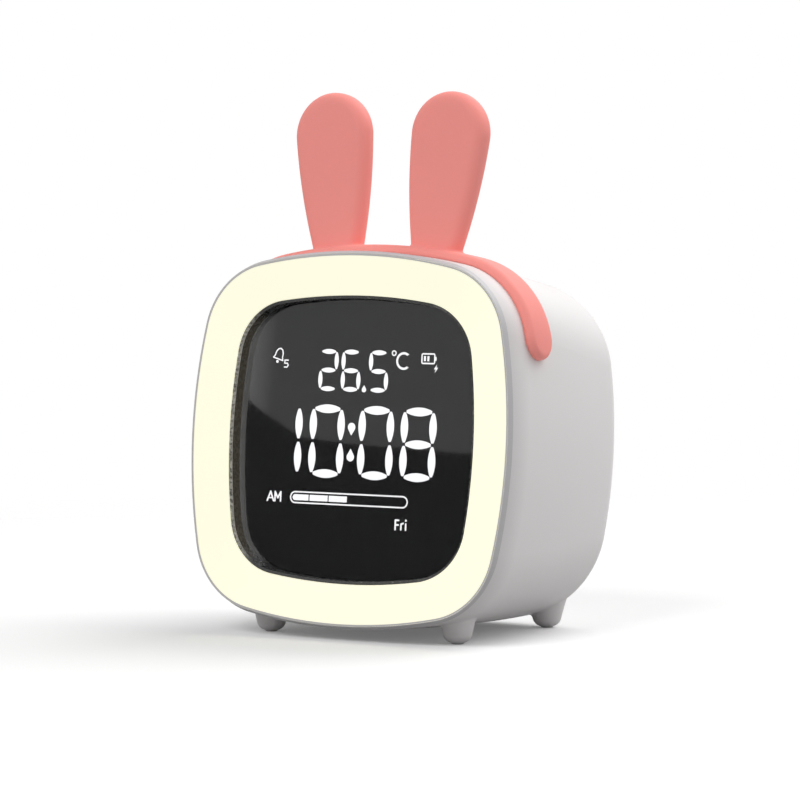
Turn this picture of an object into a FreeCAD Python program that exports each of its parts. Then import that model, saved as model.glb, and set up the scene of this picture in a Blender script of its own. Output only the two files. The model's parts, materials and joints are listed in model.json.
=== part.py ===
import FreeCAD
import Part
import math
import os

# Bedside alarm clock with a lit square face, a recessed number display and a soft pair of ears.
# Sizes are in millimetres. Every piece of the case is drawn in the case's own axes: X to the right,
# Y backwards from the face, Z up the face, from the middle of the face. The case leans back, so
# stand_up() turns each piece and sets it on its feet. The row's origin is on the table, in the
# middle of the footprint.

V = FreeCAD.Vector

# The face and the case around it
FACE_HALF = 44.0
FACE_SIDE_R = 131.0
FACE_CORNER_R = 18.7
FACE_CLEARANCE = 3.6
CASE_TILT = 4.83
CASE_DEPTH = 61.2
CASE_TAPER = 3.45
CASE_BULGE = 0.95
CASE_CORNER_R = 20.6
CASE_CORNER_GAIN = 3.74
REAR_EDGE_R = 9.27
LIP_FLAT = 0.12
LIP_RISE = 0.74
LIP_DEPTH = 1.2
WALL = 2.1
REAR_WALL = 4.0

# Feet
FOOT_INSET = 17.8
FRONT_FOOT_Y = 7.5
REAR_FOOT_Y = 49.8
FOOT_TIP_R = 1.75
FOOT_DOME_R = 3.4
FOOT_DOME_HEIGHT = 1.5
FOOT_SHOULDER_R = 2.78
FOOT_SHOULDER_HEIGHT = 0.56
FOOT_ROOT_R = 5.0
FOOT_ROOT_LENGTH = 4.0
FOOT_BLEND_R = 0.8
FOOT_SEAM_TURN = 45
PAD_R = 1.5
PAD_THICKNESS = 0.8
PAD_PROUD = 0.35

# Lit ring and screen recess
RIM_THICKNESS = 2.0
RIM_CLEARANCE = 0.05
RING_LAND = 0.3
DISH_DEPTH = 1.27
RING_PLATE = 2.6
RING_SKIRT = 4.4
RING_SKIRT_WALL = 1.15
RING_WIDTH = 9.8
SCREEN_SIDE_R = 140.0
SCREEN_CORNER_R = 14.4
BEZEL_EDGE = 0.75
BEZEL_BEVEL = 0.5
BEZEL_DRAFT = 0.2
BEZEL_DEPTH = 3.3
FIT = 0.1
WINDOW_THICKNESS = 1.2

# Light tray, front board and the lamps on it
TRAY_WALL = 1.4
TRAY_INSET = 3.1
TRAY_BASE = 1.4
FRONT_BOARD_THICKNESS = 1.6
FRONT_BOARD_INSET = 3.3
LAMP_LENGTH = 3.0
LAMP_WIDTH = 2.2
LAMP_HEIGHT = 0.8
LAMP_OFFSETS = (-19.0, -8.5, 8.5, 19.0)
LAMP_WINDOW_GAP = 0.25
DISPLAY_GAP = 0.3
DISPLAY_RIM = 0.6
DISPLAY_AIR = 2.2
DISPLAY_THICKNESS = 4.0
FILM_HALF = 34.2
MARK_DEPTH = 0.4

# Numbers on the display; shares are parts of a stroke's width or of a letter's height
STROKE_TIP_SHARE = 0.14
STROKE_GAP_SHARE = 0.2
DROP_TIP_SHARE = 1.9
DROP_SHOULDER_SHARES = (0.85, 0.53)
BIG_HALF_WIDTH = 3.95
BIG_HALF_HEIGHT = 7.75
BIG_STROKE = 2.1
SMALL_HALF_WIDTH = 2.2
SMALL_HALF_HEIGHT = 4.45
SMALL_STROKE = 1.2
FINE_STROKE = 0.42
THIN_STROKE = 0.3
C_STROKE = 0.54
TIME_Z = -0.5
TIME_DIGITS = (("1", -22.3), ("0", -10.33), ("0", 3.49), ("8", 15.3))
COLON_X = -3.4
COLON_SPREAD = 3.55
COLON_R = 1.05
WARMTH_Z = 16.5
WARMTH_DIGITS = (("2", -10.65), ("6", -4.29), ("5", 3.45))
POINT_X = -0.41
DEGREE_X = 7.6
DEGREE_R = 0.68
LETTER_C_X = 10.35
LETTER_C_R = 2.1
LETTER_C_DROP = 0.3
LETTER_C_MOUTH_X = 1.05
LETTER_C_MOUTH_HALF = 1.48
BAR_CENTRE = (-3.4, -14.2)
BAR_LENGTH = 33.2
BAR_HEIGHT = 2.95
BAR_FILLED = 16.3
BAR_SHARES = 3
BAR_LINE = 0.34
BAR_GAP = 0.42
BAR_DIVIDER = 0.3
DAY_HALF_X = (-26.5, -24.3)
DAY_HALF_Z = -15.3
WEEKDAY_X = (10.0, 11.6, 12.9)
WEEKDAY_Z = -20.7
LETTER_A = ((0, 0), (0.9, 2.2), (1.8, 0))
LETTER_A_BAR = ((0.36, 0.7), (1.44, 0.7))
LETTER_M = ((0, 0), (0, 2.2), (0.8, 0.75), (1.6, 2.2), (1.6, 0))
LETTER_F_STEM = ((0, 0), (0, 2.2), (0.9, 2.2))
LETTER_F_BAR = ((0, 1.1), (0.8, 1.1))
LETTER_R = ((0, 0), (0, 1.3), (0.55, 1.5))
LETTER_I = ((0, 0), (0, 1.35))
LETTER_I_DOT_Z = 2.2
LETTER_I_DOT_R = 0.26
BATTERY_MARK = (15.2, 18.55)
BATTERY_MARK_SIZE = (3.85, 2.6)
BATTERY_MARK_LINE = 0.34
BATTERY_MARK_R = 0.5
BATTERY_KNOB = 0.9
BATTERY_BARS = (0.7, 1.65)
BATTERY_BAR_WIDTH = 0.56
BATTERY_BAR_HEIGHT = 1.2
BOLT_MARK = (19.35, 17.55)
BOLT_OUTLINE = ((0.3, 1.05), (-0.6, -0.18), (-0.06, -0.18), (-0.34, -1.05), (0.62, 0.24), (0.1, 0.24))
BELL_MARK = (-24.85, 20.0)
BELL_OUTLINE = ((-1.4, -1.2), (-1.08, -0.55), (-1.0, 0.4), (-0.62, 1.15), (0, 1.45), (0.62, 1.15),
                (1.0, 0.4), (1.08, -0.55), (1.4, -1.2), (-1.4, -1.2))
BELL_LINE = 0.3
BELL_TURN = 16
CLAPPER_DROP = 1.85
CLAPPER_R = 0.36
ALARM_COUNT = (-22.75, 17.75)
COUNT_OUTLINE = ((0.5, 0.85), (-0.45, 0.85), (-0.5, 0.1), (0.3, 0.1), (0.55, -0.35), (0.2, -0.85),
                 (-0.55, -0.8))

# Screws: one small size throughout
SCREW_R = 0.8
SCREW_CLEARANCE_R = 1.1
HEAD_R = 1.8
HEAD_HEIGHT = 1.2
SCREW_BITE = 4.5
BOSS_R = 1.9
CROSS_WIDTH = 0.4
CROSS_LENGTH = 2.2
CROSS_DEPTH = 0.5
LUG_WIDTH = 7.0
LUG_THICKNESS = 3.0
LUG_REACH = 1.85

# Soft headband and ears
BAND_FRONT = 9.0
BAND_WIDTH = 10.3
BAND_THICKNESS = 2.3
BAND_END = 20.3
BAND_EDGE_R = 1.05
EAR_THICKNESS = 6.0
EAR_CENTRE_Y = 14.6
EAR_BASE_X = 13.85
EAR_LIFT = 0.32
EAR_BASE_HALF = 6.6
EAR_TIP_R = 10.3
EAR_SIDE_R = 230.0
EAR_REACH = 27.0
EAR_SPLAY = 5.3
EAR_EDGE_R = 2.4
PEG_X = 16.5
PEG_Y = 15.1
PEG_R = 1.2
PEG_HEAD_R = 1.9
PEG_HEAD_HEIGHT = 0.7
PEG_GAP = 0.05

# Rear cover
COVER_INSET = 13.1
COVER_SIDE_R = 119.0
COVER_CORNER_R = 18.0
COVER_THICKNESS = 1.85
COVER_SINK = 0.15
COVER_GAP = 0.1
COVER_LEDGE = 2.1
COVER_SCREW_INSET = 8.5
COVER_BOSS_R = 3.2
COVER_BOSS_LENGTH = 8.0
COVER_HEAD_R = 2.2
COVER_HEAD_DEPTH = 1.0
GRILLE_PITCH = 3.2
GRILLE_HOLE_R = 0.8
GRILLE_RINGS = 3
VENT_LENGTH = 5.0
VENT_WIDTH = 1.0
VENT_PITCH = 2.0
VENT_COUNT = 3
RESET_X = 9.5
RESET_R = 0.6

# Rear buttons, from left to right as seen from behind
BUTTON_NAMES = ("light", "alarm", "plus", "minus", "mode")
BUTTON_PITCH = 10.0
BUTTON_DROP = 8.3
BUTTON_R = 3.5
BUTTON_GAP = 0.2
BUTTON_PROUD = 1.2
BUTTON_DISH_R = 14.0
BUTTON_DISH_DEPTH = 0.3
BUTTON_EDGE_R = 0.35
BUTTON_FLANGE_R = 4.4
BUTTON_FLANGE = 0.8
BUTTON_REST_GAP = 0.1
BUTTON_TRAVEL = 0.5
PLUNGER_R = 1.7
PLUNGER_GAP = 0.1
PLUNGER_DEPTH = 0.6
SWITCH_SIDE = 6.0
SWITCH_HEIGHT = 3.6
SWITCH_STOP = 0.5

# Main board
BOARD_FACE_FROM_COVER = 6.6
MAIN_BOARD_THICKNESS = 1.6
MAIN_BOARD_INSET = 4.9
MAIN_BOARD_TOP_DROP = 1.4
MAIN_BOARD_STEP_WIDTH = 8.0
MAIN_BOARD_STEP_HEIGHT = 7.6
POST_INSET = (1.8, 2.2)
FOOT_POST_INSET = (2.4, 2.4)
POST_R = 1.6
CHIPS = ((-11.0, -11.4, 7.0, 7.0, 1.2), (-2.5, -17.9, 5.0, 4.0, 1.0), (12.0, -18.9, 3.6, 3.6, 1.4),
         (-18.5, -9.4, 3.0, 4.6, 1.8))
CANS = ((-14.0, -3.9, 2.5, 6.0), (-21.5, -6.0, 2.0, 5.0))
PORT_RISE = 5.0
PORT_WIDTH = 8.94
PORT_HEIGHT = 3.26
PORT_WALL = 0.3
PORT_GAP = 0.2
PORT_SINK = 0.3
PORT_DEPTH = 6.2
TONGUE_WIDTH = 6.7
TONGUE_HEIGHT = 0.7
PROBE_X = -11.5
PROBE_R = 1.0
PROBE_REACH = 3.0
PROBE_LEG_R = 0.25
TAP_SENSOR_R = 2.1
TAP_SENSOR_LENGTH = 9.0
TAP_SENSOR_X = 6.0
TAP_SENSOR_DROP = 13.9

# Speaker
SPEAKER_Z = 12.8
SPEAKER_MARGIN = 16.9
SPEAKER_RIM = 1.9
SPEAKER_RIM_WIDTH = 1.6
SPEAKER_LEDGE = 1.0
SPEAKER_CUP_SHARE = 0.68
SPEAKER_CUP_DEPTH = 3.1
SPEAKER_SHELL = 0.7
MAGNET_SHARE = 0.5
MAGNET_HEIGHT = 2.6
CONE_THICKNESS = 0.4
CONE_NECK_SHARE = 0.24
CONE_DROP = 2.2
CONE_SURROUND = 1.2
SPEAKER_WALL = 1.0
SPEAKER_WALL_DEPTH = 3.6

# Battery
CELL_R = 9.1
CELL_LENGTH = 65.0
CELL_Y = 32.0
CELL_RISE = 17.6
CELL_EDGE_R = 0.6
CELL_CAP_R = 3.2
CELL_CAP_LENGTH = 1.0
CRADLE_LENGTH = 52.0
CRADLE_DEPTH = 28.0
CRADLE_PLATE = 1.5
CRADLE_GAP = 0.1
SADDLE_X = 20.0
SADDLE_WIDTH = 6.0
SADDLE_WALL = 1.8
CRADLE_SCREW_Y = 11.3
CRADLE_SCREW_X = 12.0
RIB_WIDTH = 5.0

# Leads and ribbon
RIBBON_WIDTH = 12.0
RIBBON_THICKNESS = 0.3
RIBBON_DROP = 3.4
RIBBON_SAG = 5.0
SOCKET_WIDTH = 14.0
SOCKET_HEIGHT = 4.0
SOCKET_DEPTH = 2.0
LEAD_R = 0.45
LEAD_BEND_SHARE = 0.45
PLUG_INSET = 6.0
PLUG_DROP = 6.4
PLUG_SIZE = (6.0, 5.0, 4.4)
SPEAKER_LEAD_GAP = 1.2
SPEAKER_LEAD_ROOM = 5.5
SPEAKER_LEAD_LANDING = 3.6
BATTERY_LEAD_INSET = (7.5, 5.0)
BATTERY_LEAD_ANGLE = 50
BATTERY_LEAD_ROOM = 4.5
BATTERY_LEAD_TOUCH = 0.02
PLUG_PIN_PITCH = 2.5

# Depths worked out from the sizes above
BEZEL_FRONT = DISH_DEPTH + RIM_CLEARANCE
WINDOW_FRONT = DISH_DEPTH + BEZEL_DEPTH
WINDOW_REAR = WINDOW_FRONT + WINDOW_THICKNESS
DISPLAY_FRONT = WINDOW_REAR + DISPLAY_AIR
BOARD_FRONT = DISPLAY_FRONT + DISPLAY_THICKNESS
BOARD_REAR = BOARD_FRONT + FRONT_BOARD_THICKNESS
LUG_REAR = BOARD_REAR + LUG_THICKNESS
RIM_SEAT = RIM_THICKNESS
COVER_OUTER = CASE_DEPTH - COVER_SINK
COVER_INNER = COVER_OUTER - COVER_THICKNESS
MAIN_REAR = COVER_INNER - BOARD_FACE_FROM_COVER
MAIN_FRONT = MAIN_REAR - MAIN_BOARD_THICKNESS
SWITCH_TOP = MAIN_REAR + SWITCH_HEIGHT
BAND_MIDDLE = BAND_FRONT + BAND_WIDTH / 2

# Sizes and places that follow from the face
FACE_HEIGHT = FACE_HALF + FACE_CLEARANCE
FOOT_X = FACE_HALF - FOOT_INSET
SCREEN_HALF = FACE_HALF - RING_WIDTH
FILM_SCALE = SCREEN_HALF / FILM_HALF
COVER_HALF = FACE_HALF - COVER_INSET
COVER_SCREW = COVER_HALF - COVER_SCREW_INSET
SPEAKER_R = COVER_HALF - SPEAKER_MARGIN
SPEAKER_CUP_R = SPEAKER_CUP_SHARE * SPEAKER_R
MAGNET_R = MAGNET_SHARE * SPEAKER_R
CONE_NECK_R = CONE_NECK_SHARE * SPEAKER_R
BUTTON_Z = SPEAKER_Z - SPEAKER_R - BUTTON_DROP
MAIN_BOARD_HALF = COVER_HALF - MAIN_BOARD_INSET
MAIN_BOARD_TOP = SPEAKER_Z - SPEAKER_R - MAIN_BOARD_TOP_DROP
MAIN_BOARD_BOTTOM = -MAIN_BOARD_HALF
MAIN_BOARD_STEP = MAIN_BOARD_BOTTOM + MAIN_BOARD_STEP_HEIGHT
MAIN_BOARD_FOOT_HALF = MAIN_BOARD_HALF - MAIN_BOARD_STEP_WIDTH
PORT_Z = MAIN_BOARD_BOTTOM + PORT_RISE
CELL_Z = CELL_RISE - FACE_HALF
CRADLE_TOP = CELL_Z - CELL_R - CRADLE_GAP
CRADLE_SEAT = CRADLE_TOP - CRADLE_PLATE
RIBBON_Z = MAIN_BOARD_TOP - RIBBON_DROP
PLUG_X = MAIN_BOARD_HALF - PLUG_INSET
PLUG_Z = MAIN_BOARD_TOP - PLUG_DROP

FACE = (FACE_HALF, FACE_SIDE_R, FACE_CORNER_R)
SCREEN = (SCREEN_HALF, SCREEN_SIDE_R, SCREEN_CORNER_R)
COVER = (COVER_HALF, COVER_SIDE_R, COVER_CORNER_R)

OVER = 1.0
NEAR = 0.01

nodes = {}


# Shapes that several pieces use

def inset(shape, distance):
    """The same outline moved inwards by a distance all round."""
    return tuple(size - distance for size in shape)


def corner_centre(shape):
    """How far the centre of a corner arc lies from the middle, along X and Z alike."""
    half, side_r, corner_r = shape
    reach = half - side_r
    return (reach + math.sqrt(2 * (side_r - corner_r) ** 2 - reach ** 2)) / 2


def corner_point(shape):
    """The coordinate, equal in X and Z, where the outline crosses its diagonal."""
    return corner_centre(shape) + shape[2] / math.sqrt(2)


def side_reach(shape, offset):
    """How far a bowed side lies from the middle, at an offset along it."""
    half, side_r, corner_r = shape
    return half - side_r + math.sqrt(side_r ** 2 - offset ** 2)


def outline(shape, y):
    """Closed wire of eight tangent arcs at depth y: four bowed sides and four round corners."""
    half, side_r, corner_r = shape
    centre = corner_centre(shape)
    stretch = side_r / (side_r - corner_r)
    side_centre = half - side_r
    meet_x = side_centre + stretch * (centre - side_centre)
    meet_z = stretch * centre
    bend = corner_point(shape)
    side = ((meet_x, -meet_z), (half, 0), (meet_x, meet_z))
    corner = ((meet_x, meet_z), (bend, bend), (meet_z, meet_x))
    edges = []
    for quarter in range(4):
        for arc in (side, corner):
            points = [V(*turned(x, z, quarter, y)) for x, z in arc]
            edges.append(Part.Arc(*points).toShape())
    return Part.Wire(edges)


def turned(x, z, quarter, y):
    """A point of the outline turned by quarter turns about the case's axis."""
    for _ in range(quarter):
        x, z = -z, x
    return x, y, z


def prism(shape, y_front, y_rear):
    """Straight block with the outline as its section."""
    return Part.Face(outline(shape, y_front)).extrude(V(0, y_rear - y_front, 0))


def frustum(front, y_front, rear, y_rear):
    """Block whose section changes straight from one outline to another."""
    return Part.makeLoft([outline(front, y_front), outline(rear, y_rear)], True, True)


def box(x0, x1, y0, y1, z0, z1):
    return Part.makeBox(x1 - x0, y1 - y0, z1 - z0, V(x0, y0, z0))


def rod(x, z, y_front, y_rear, radius):
    """Cylinder along Y."""
    return Part.makeCylinder(radius, y_rear - y_front, V(x, y_front, z), V(0, 1, 0))


def lathe(profile, x, z):
    """Body turned about a line along Y, from corners given as (radius, y)."""
    points = [V(x + radius, y, z) for radius, y in profile]
    wire = Part.makePolygon(points + points[:1])
    return Part.Face(wire).revolve(V(x, 0, z), V(0, 1, 0), 360)


def joined(shapes):
    """One body from shapes that touch or overlap."""
    first = shapes[0]
    return first.fuse(shapes[1:]).removeSplitter()


def rounded_box(x0, x1, y0, y1, z0, z1, radius):
    """Box with its four edges along Y rounded."""
    body = box(x0, x1, y0, y1, z0, z1)
    edges = [e for e in body.Edges if e.BoundBox.YLength > (y1 - y0) / 2 and e.BoundBox.XLength < NEAR]
    edges = [e for e in edges if e.BoundBox.ZLength < NEAR]
    return body.makeFillet(radius, edges)


def mirrored_pair(first, second):
    """The four places with either sign on both coordinates."""
    return [(sx * first, sz * second) for sx in (-1, 1) for sz in (-1, 1)]


def side_places(reach):
    """The middle of each of the four sides."""
    return [(reach, 0), (0, reach), (-reach, 0), (0, -reach)]


def screw(x, z, seat_y, length):
    """Pan head screw driven forwards: its head stands behind seat_y and its shank in front of it."""
    head = rod(x, z, seat_y, seat_y + HEAD_HEIGHT, HEAD_R)
    shank = rod(x, z, seat_y - length, seat_y, SCREW_R)
    slot_y = seat_y + HEAD_HEIGHT - CROSS_DEPTH
    wide = CROSS_LENGTH / 2
    thin = CROSS_WIDTH / 2
    across = box(x - wide, x + wide, slot_y, slot_y + OVER, z - thin, z + thin)
    upright = box(x - thin, x + thin, slot_y, slot_y + OVER, z - wide, z + wide)
    return head.fuse(shank).removeSplitter().cut([across, upright])


def upright_screw(x, y, seat_z, length):
    """The same screw driven downwards."""
    body = screw(0, 0, 0, length)
    body.rotate(V(0, 0, 0), V(1, 0, 0), 90)
    body.translate(V(x, y, seat_z))
    return body


def lead(points, radius):
    """Round lead along straight runs joined by tangent arcs, each as large as its two runs allow."""
    corners = [V(*point) for point in points]
    edges = []
    start = corners[0]
    for before, corner, after in zip(corners, corners[1:], corners[2:]):
        back = (before - corner)
        ahead = (after - corner)
        run = min(back.Length, ahead.Length)
        trim = LEAD_BEND_SHARE * run
        half_turn = (math.pi - back.getAngle(ahead)) / 2
        bend_r = trim / math.tan(half_turn)
        back.normalize()
        ahead.normalize()
        entry = corner + back * trim
        leave = corner + ahead * trim
        bisector = back + ahead
        bisector.normalize()
        middle = corner + bisector * (bend_r / math.cos(half_turn) - bend_r)
        edges.append(Part.LineSegment(start, entry).toShape())
        edges.append(Part.Arc(entry, middle, leave).toShape())
        print("lead bend radius", round(bend_r, 2))
        start = leave
    edges.append(Part.LineSegment(start, corners[-1]).toShape())
    path = Part.Wire(edges)
    ring = Part.Wire(Part.makeCircle(radius, corners[0], corners[1] - corners[0]))
    body = path.makePipeShell([ring], True, False)
    expected = math.pi * radius ** 2 * path.Length
    print("lead volume", round(body.Volume, 2), "section times length", round(expected, 2))
    return body


# The case

def case_shape(y):
    """The case's outline at depth y: it swells a little behind the lip, then tapers to the rear."""
    share = y / CASE_DEPTH
    swell = 4 * CASE_BULGE * share * (1 - share)
    half = FACE_HALF + LIP_RISE - CASE_TAPER * share + swell
    return (half, FACE_SIDE_R + LIP_RISE, CASE_CORNER_R + CASE_CORNER_GAIN * share)


def case_block(wall, y_front, y_rear, rear_r):
    """Solid case, inset by a wall, with its rear edge rounded."""
    steps = 4
    depths = [y_front + (y_rear - y_front) * step / steps for step in range(steps + 1)]
    wires = [outline(inset(case_shape(y), wall), y) for y in depths]
    body = Part.makeLoft(wires, True, False)
    rear = [edge for edge in body.Edges if edge.BoundBox.YMin > y_rear - NEAR]
    return body.makeFillet(rear_r, rear)


def case_outside():
    """The case's outer form: a tapered block with a narrow bevel around the face."""
    block = case_block(0, LIP_DEPTH, CASE_DEPTH, REAR_EDGE_R)
    lip = frustum(inset(FACE, -LIP_FLAT), 0, case_shape(LIP_DEPTH), LIP_DEPTH)
    return block.fuse(lip)


def ceiling(x, y):
    """Height of the case's inner wall above the middle, at x across and y deep."""
    return side_reach(inset(case_shape(y), WALL), x)


def underside(x, y):
    """Depth of the case's outer wall below the middle, at x across and y deep."""
    return side_reach(case_shape(y), x)


def foot(x, y):
    """Moulded foot: a rounded stub that stands plumb, with its root inside the case."""
    tilt = math.radians(CASE_TILT)
    top = FACE_HEIGHT - underside(x, y) * math.cos(tilt) - y * math.sin(tilt)
    tip = PAD_PROUD
    points = [
        V(x, y, tip),
        V(x + FOOT_TIP_R, y, tip),
        V(x + FOOT_SHOULDER_R, y, tip + FOOT_SHOULDER_HEIGHT),
        V(x + FOOT_DOME_R, y, tip + FOOT_DOME_HEIGHT),
        V(x + FOOT_ROOT_R, y, top + FOOT_ROOT_LENGTH),
        V(x, y, top + FOOT_ROOT_LENGTH),
    ]
    edges = [
        Part.LineSegment(points[0], points[1]).toShape(),
        Part.Arc(points[1], points[2], points[3]).toShape(),
        Part.LineSegment(points[3], points[4]).toShape(),
        Part.LineSegment(points[4], points[5]).toShape(),
        Part.LineSegment(points[5], points[0]).toShape(),
    ]
    body = Part.Face(Part.Wire(edges)).revolve(V(x, y, 0), V(0, 0, 1), 360)
    body.rotate(V(x, y, 0), V(0, 0, 1), FOOT_SEAM_TURN if x > 0 else -FOOT_SEAM_TURN)
    return lie_back(body)


def foot_roots(body):
    """The edges where the feet's cones leave the case."""
    roots = []
    for edge in body.Edges:
        surfaces = [face.Surface for face in body.ancestorsOfType(edge, Part.Face)]
        cones = [surface for surface in surfaces if isinstance(surface, Part.Cone)]
        smooth = [surface for surface in surfaces if isinstance(surface, Part.BSplineSurface)]
        if len(cones) == 1 and len(smooth) == 1:
            roots.append(edge)
    return roots


def footed(outside):
    """The case's outer form with its four feet blended in and a pocket for a pad in each."""
    for x, y in foot_places():
        outside = outside.fuse(foot(x, y))
        outside = outside.makeFillet(FOOT_BLEND_R, foot_roots(outside))
    pockets = [lie_back(Part.makeCylinder(PAD_R, PAD_THICKNESS, V(x, y, 0))) for x, y in foot_places()]
    return outside.cut(pockets)


def foot_places():
    return [(sx * FOOT_X, y) for y in (FRONT_FOOT_Y, REAR_FOOT_Y) for sx in (-1, 1)]


def foot_pads():
    """Thin soft pad in the tip of each foot."""
    return Part.makeCompound([Part.makeCylinder(PAD_R, PAD_THICKNESS, V(x, y, 0)) for x, y in foot_places()])


def front_lugs():
    """Lugs on the four inner sides that the front pack is screwed to."""
    outer = FACE_HALF - WALL / 2
    lugs = []
    for x, z in tray_side_places():
        inner = max(abs(x), abs(z)) - LUG_REACH
        mid = (inner + outer) / 2
        reach = (outer - inner) / 2
        half_x = reach if x else LUG_WIDTH / 2
        half_z = reach if z else LUG_WIDTH / 2
        mid_x = math.copysign(mid, x) if x else 0
        mid_z = math.copysign(mid, z) if z else 0
        lugs.append(box(mid_x - half_x, mid_x + half_x, BOARD_REAR, LUG_REAR, mid_z - half_z, mid_z + half_z))
    return lugs


def cover_bosses():
    top = CASE_DEPTH - COVER_SINK - COVER_THICKNESS
    return [rod(x, z, top - COVER_BOSS_LENGTH, top, COVER_BOSS_R)
            for x, z in mirrored_pair(COVER_SCREW, COVER_SCREW)]


def cradle_ribs():
    """Ribs on the floor of the case that carry the battery cradle."""
    ribs = []
    for side in (-1, 1):
        middle = side * CRADLE_SCREW_X
        low = -ceiling(middle, CELL_Y) - WALL / 2
        ribs.append(box(middle - RIB_WIDTH / 2, middle + RIB_WIDTH / 2, CELL_Y - CRADLE_DEPTH / 2,
                        CELL_Y + CRADLE_DEPTH / 2, low, CRADLE_SEAT))
    return ribs


def cradle_screw_places():
    return [(sx * CRADLE_SCREW_X, CELL_Y + sy * CRADLE_SCREW_Y) for sx in (-1, 1) for sy in (-1, 1)]


def main_shell(outside):
    """White shell: open front with a seat for the lit ring, rear opening with a ledge for the cover."""
    cavity = case_block(WALL, RIM_SEAT, CASE_DEPTH - REAR_WALL, REAR_EDGE_R - WALL)
    seat = prism(FACE, -OVER, RIM_SEAT)
    opening = prism(inset(COVER, COVER_LEDGE), CASE_DEPTH - REAR_WALL - OVER, CASE_DEPTH + OVER)
    recess = prism(inset(COVER, -COVER_GAP), COVER_INNER, CASE_DEPTH + OVER)
    shell = footed(outside).cut([cavity, seat, opening, recess])
    shell = shell.fuse(front_lugs() + cover_bosses() + cradle_ribs())
    holes = [rod(x, z, BOARD_REAR - OVER, LUG_REAR + OVER, SCREW_CLEARANCE_R)
             for x, z in tray_side_places()]
    holes += [rod(x, z, COVER_INNER - SCREW_BITE, COVER_INNER + OVER, SCREW_R)
              for x, z in mirrored_pair(COVER_SCREW, COVER_SCREW)]
    bite = SCREW_BITE - CRADLE_PLATE
    holes += [Part.makeCylinder(SCREW_R, bite, V(x, y, CRADLE_SEAT - bite)) for x, y in cradle_screw_places()]
    holes += [Part.makeCylinder(PEG_R, 3 * WALL, V(sx * PEG_X, PEG_Y, ceiling(PEG_X, PEG_Y) - WALL))
              for sx in (-1, 1)]
    return shell.cut(holes).removeSplitter()


# Lit front

def light_ring():
    """Milky ring with a shallow dish, a rim that sits in the shell's seat and a skirt behind it."""
    hub = inset(case_shape(RIM_SEAT), WALL + 3 * FIT)
    rim = prism(inset(FACE, RIM_CLEARANCE), 0, RIM_THICKNESS)
    body = rim.fuse([prism(hub, RIM_THICKNESS, RING_PLATE + RING_SKIRT)])
    hollow = prism(inset(hub, RING_SKIRT_WALL), RING_PLATE, RING_PLATE + RING_SKIRT + OVER)
    dish = frustum(inset(FACE, RING_LAND), 0, SCREEN, DISH_DEPTH)
    above = prism(inset(FACE, RING_LAND), -OVER, 0)
    window = prism(SCREEN, -OVER, RING_PLATE + OVER)
    return body.cut([hollow, dish.fuse(above), window]).removeSplitter()


def screen_bezel():
    """Black frame that lines the recess from the ring's inner edge back to the window."""
    outer = inset(SCREEN, FIT)
    body = prism(outer, BEZEL_FRONT, WINDOW_FRONT)
    mouth = inset(SCREEN, BEZEL_EDGE)
    bevel = frustum(inset(SCREEN, 2 * FIT), BEZEL_FRONT, mouth, BEZEL_FRONT + BEZEL_BEVEL)
    throat = frustum(mouth, BEZEL_FRONT + BEZEL_BEVEL, inset(mouth, BEZEL_DRAFT), WINDOW_FRONT)
    return body.cut([bevel, throat])


def screen_window():
    return prism(inset(SCREEN, FIT), WINDOW_FRONT, WINDOW_REAR)


def tray_channel():
    """Inner and outer outline of the tray's channel."""
    return inset(SCREEN, -FIT - TRAY_WALL), inset(FACE, TRAY_INSET + TRAY_WALL)


def tray_corner_places():
    """The middle of the channel at its four corners."""
    inner, outer = tray_channel()
    reach = (corner_point(inner) + corner_point(outer)) / 2
    return mirrored_pair(reach, reach)


def tray_side_places():
    """The middle of the channel on its four sides."""
    inner, outer = tray_channel()
    return side_places((inner[0] + outer[0]) / 2)


def tray_boss_places():
    return tray_corner_places() + tray_side_places()


def lamp_boxes(gap, y_front, y_rear):
    """Blocks around the sixteen lamps, four to a side, half way across the tray's channel."""
    inner, outer = tray_channel()
    blocks = []
    for offset in LAMP_OFFSETS:
        reach = (side_reach(inner, offset) + side_reach(outer, offset)) / 2
        half_out = LAMP_WIDTH / 2 + gap
        half_along = LAMP_LENGTH / 2 + gap
        for sign in (-1, 1):
            mid = sign * reach
            out = (mid - half_out, mid + half_out)
            along = (offset - half_along, offset + half_along)
            blocks.append(box(*out, y_front, y_rear, *along))
            blocks.append(box(*along, y_front, y_rear, *out))
    return blocks


def light_tray():
    """White channel behind the ring: it keeps the lamps' light off the screen and throws it forwards."""
    front = RING_PLATE + RIM_CLEARANCE
    base = BOARD_FRONT - TRAY_BASE
    outer = inset(FACE, TRAY_INSET)
    body = prism(outer, front, BOARD_FRONT)
    channel = prism(inset(outer, TRAY_WALL), front - OVER, base)
    throat = prism(inset(SCREEN, -FIT), front - OVER, BOARD_FRONT + OVER)
    ridge = prism(inset(SCREEN, -FIT - TRAY_WALL), front, BOARD_FRONT)
    body = body.cut(channel).fuse(ridge).cut(throat)
    boss_front = BOARD_FRONT - SCREW_BITE
    bosses = [rod(x, z, boss_front, BOARD_FRONT, BOSS_R) for x, z in tray_boss_places()]
    body = body.fuse(bosses).removeSplitter()
    pilots = [rod(x, z, boss_front + SCREW_R, BOARD_FRONT + OVER, SCREW_R) for x, z in tray_boss_places()]
    return body.cut(pilots + lamp_boxes(LAMP_WINDOW_GAP, base - NEAR, BOARD_FRONT + OVER))


def light_ring_lamps():
    return Part.makeCompound(lamp_boxes(0, BOARD_FRONT - LAMP_HEIGHT, BOARD_FRONT))


def front_board():
    body = prism(inset(FACE, FRONT_BOARD_INSET), BOARD_FRONT, BOARD_REAR)
    return body.cut([rod(x, z, BOARD_FRONT - OVER, BOARD_REAR + OVER, SCREW_CLEARANCE_R)
                     for x, z in tray_boss_places()])


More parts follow.
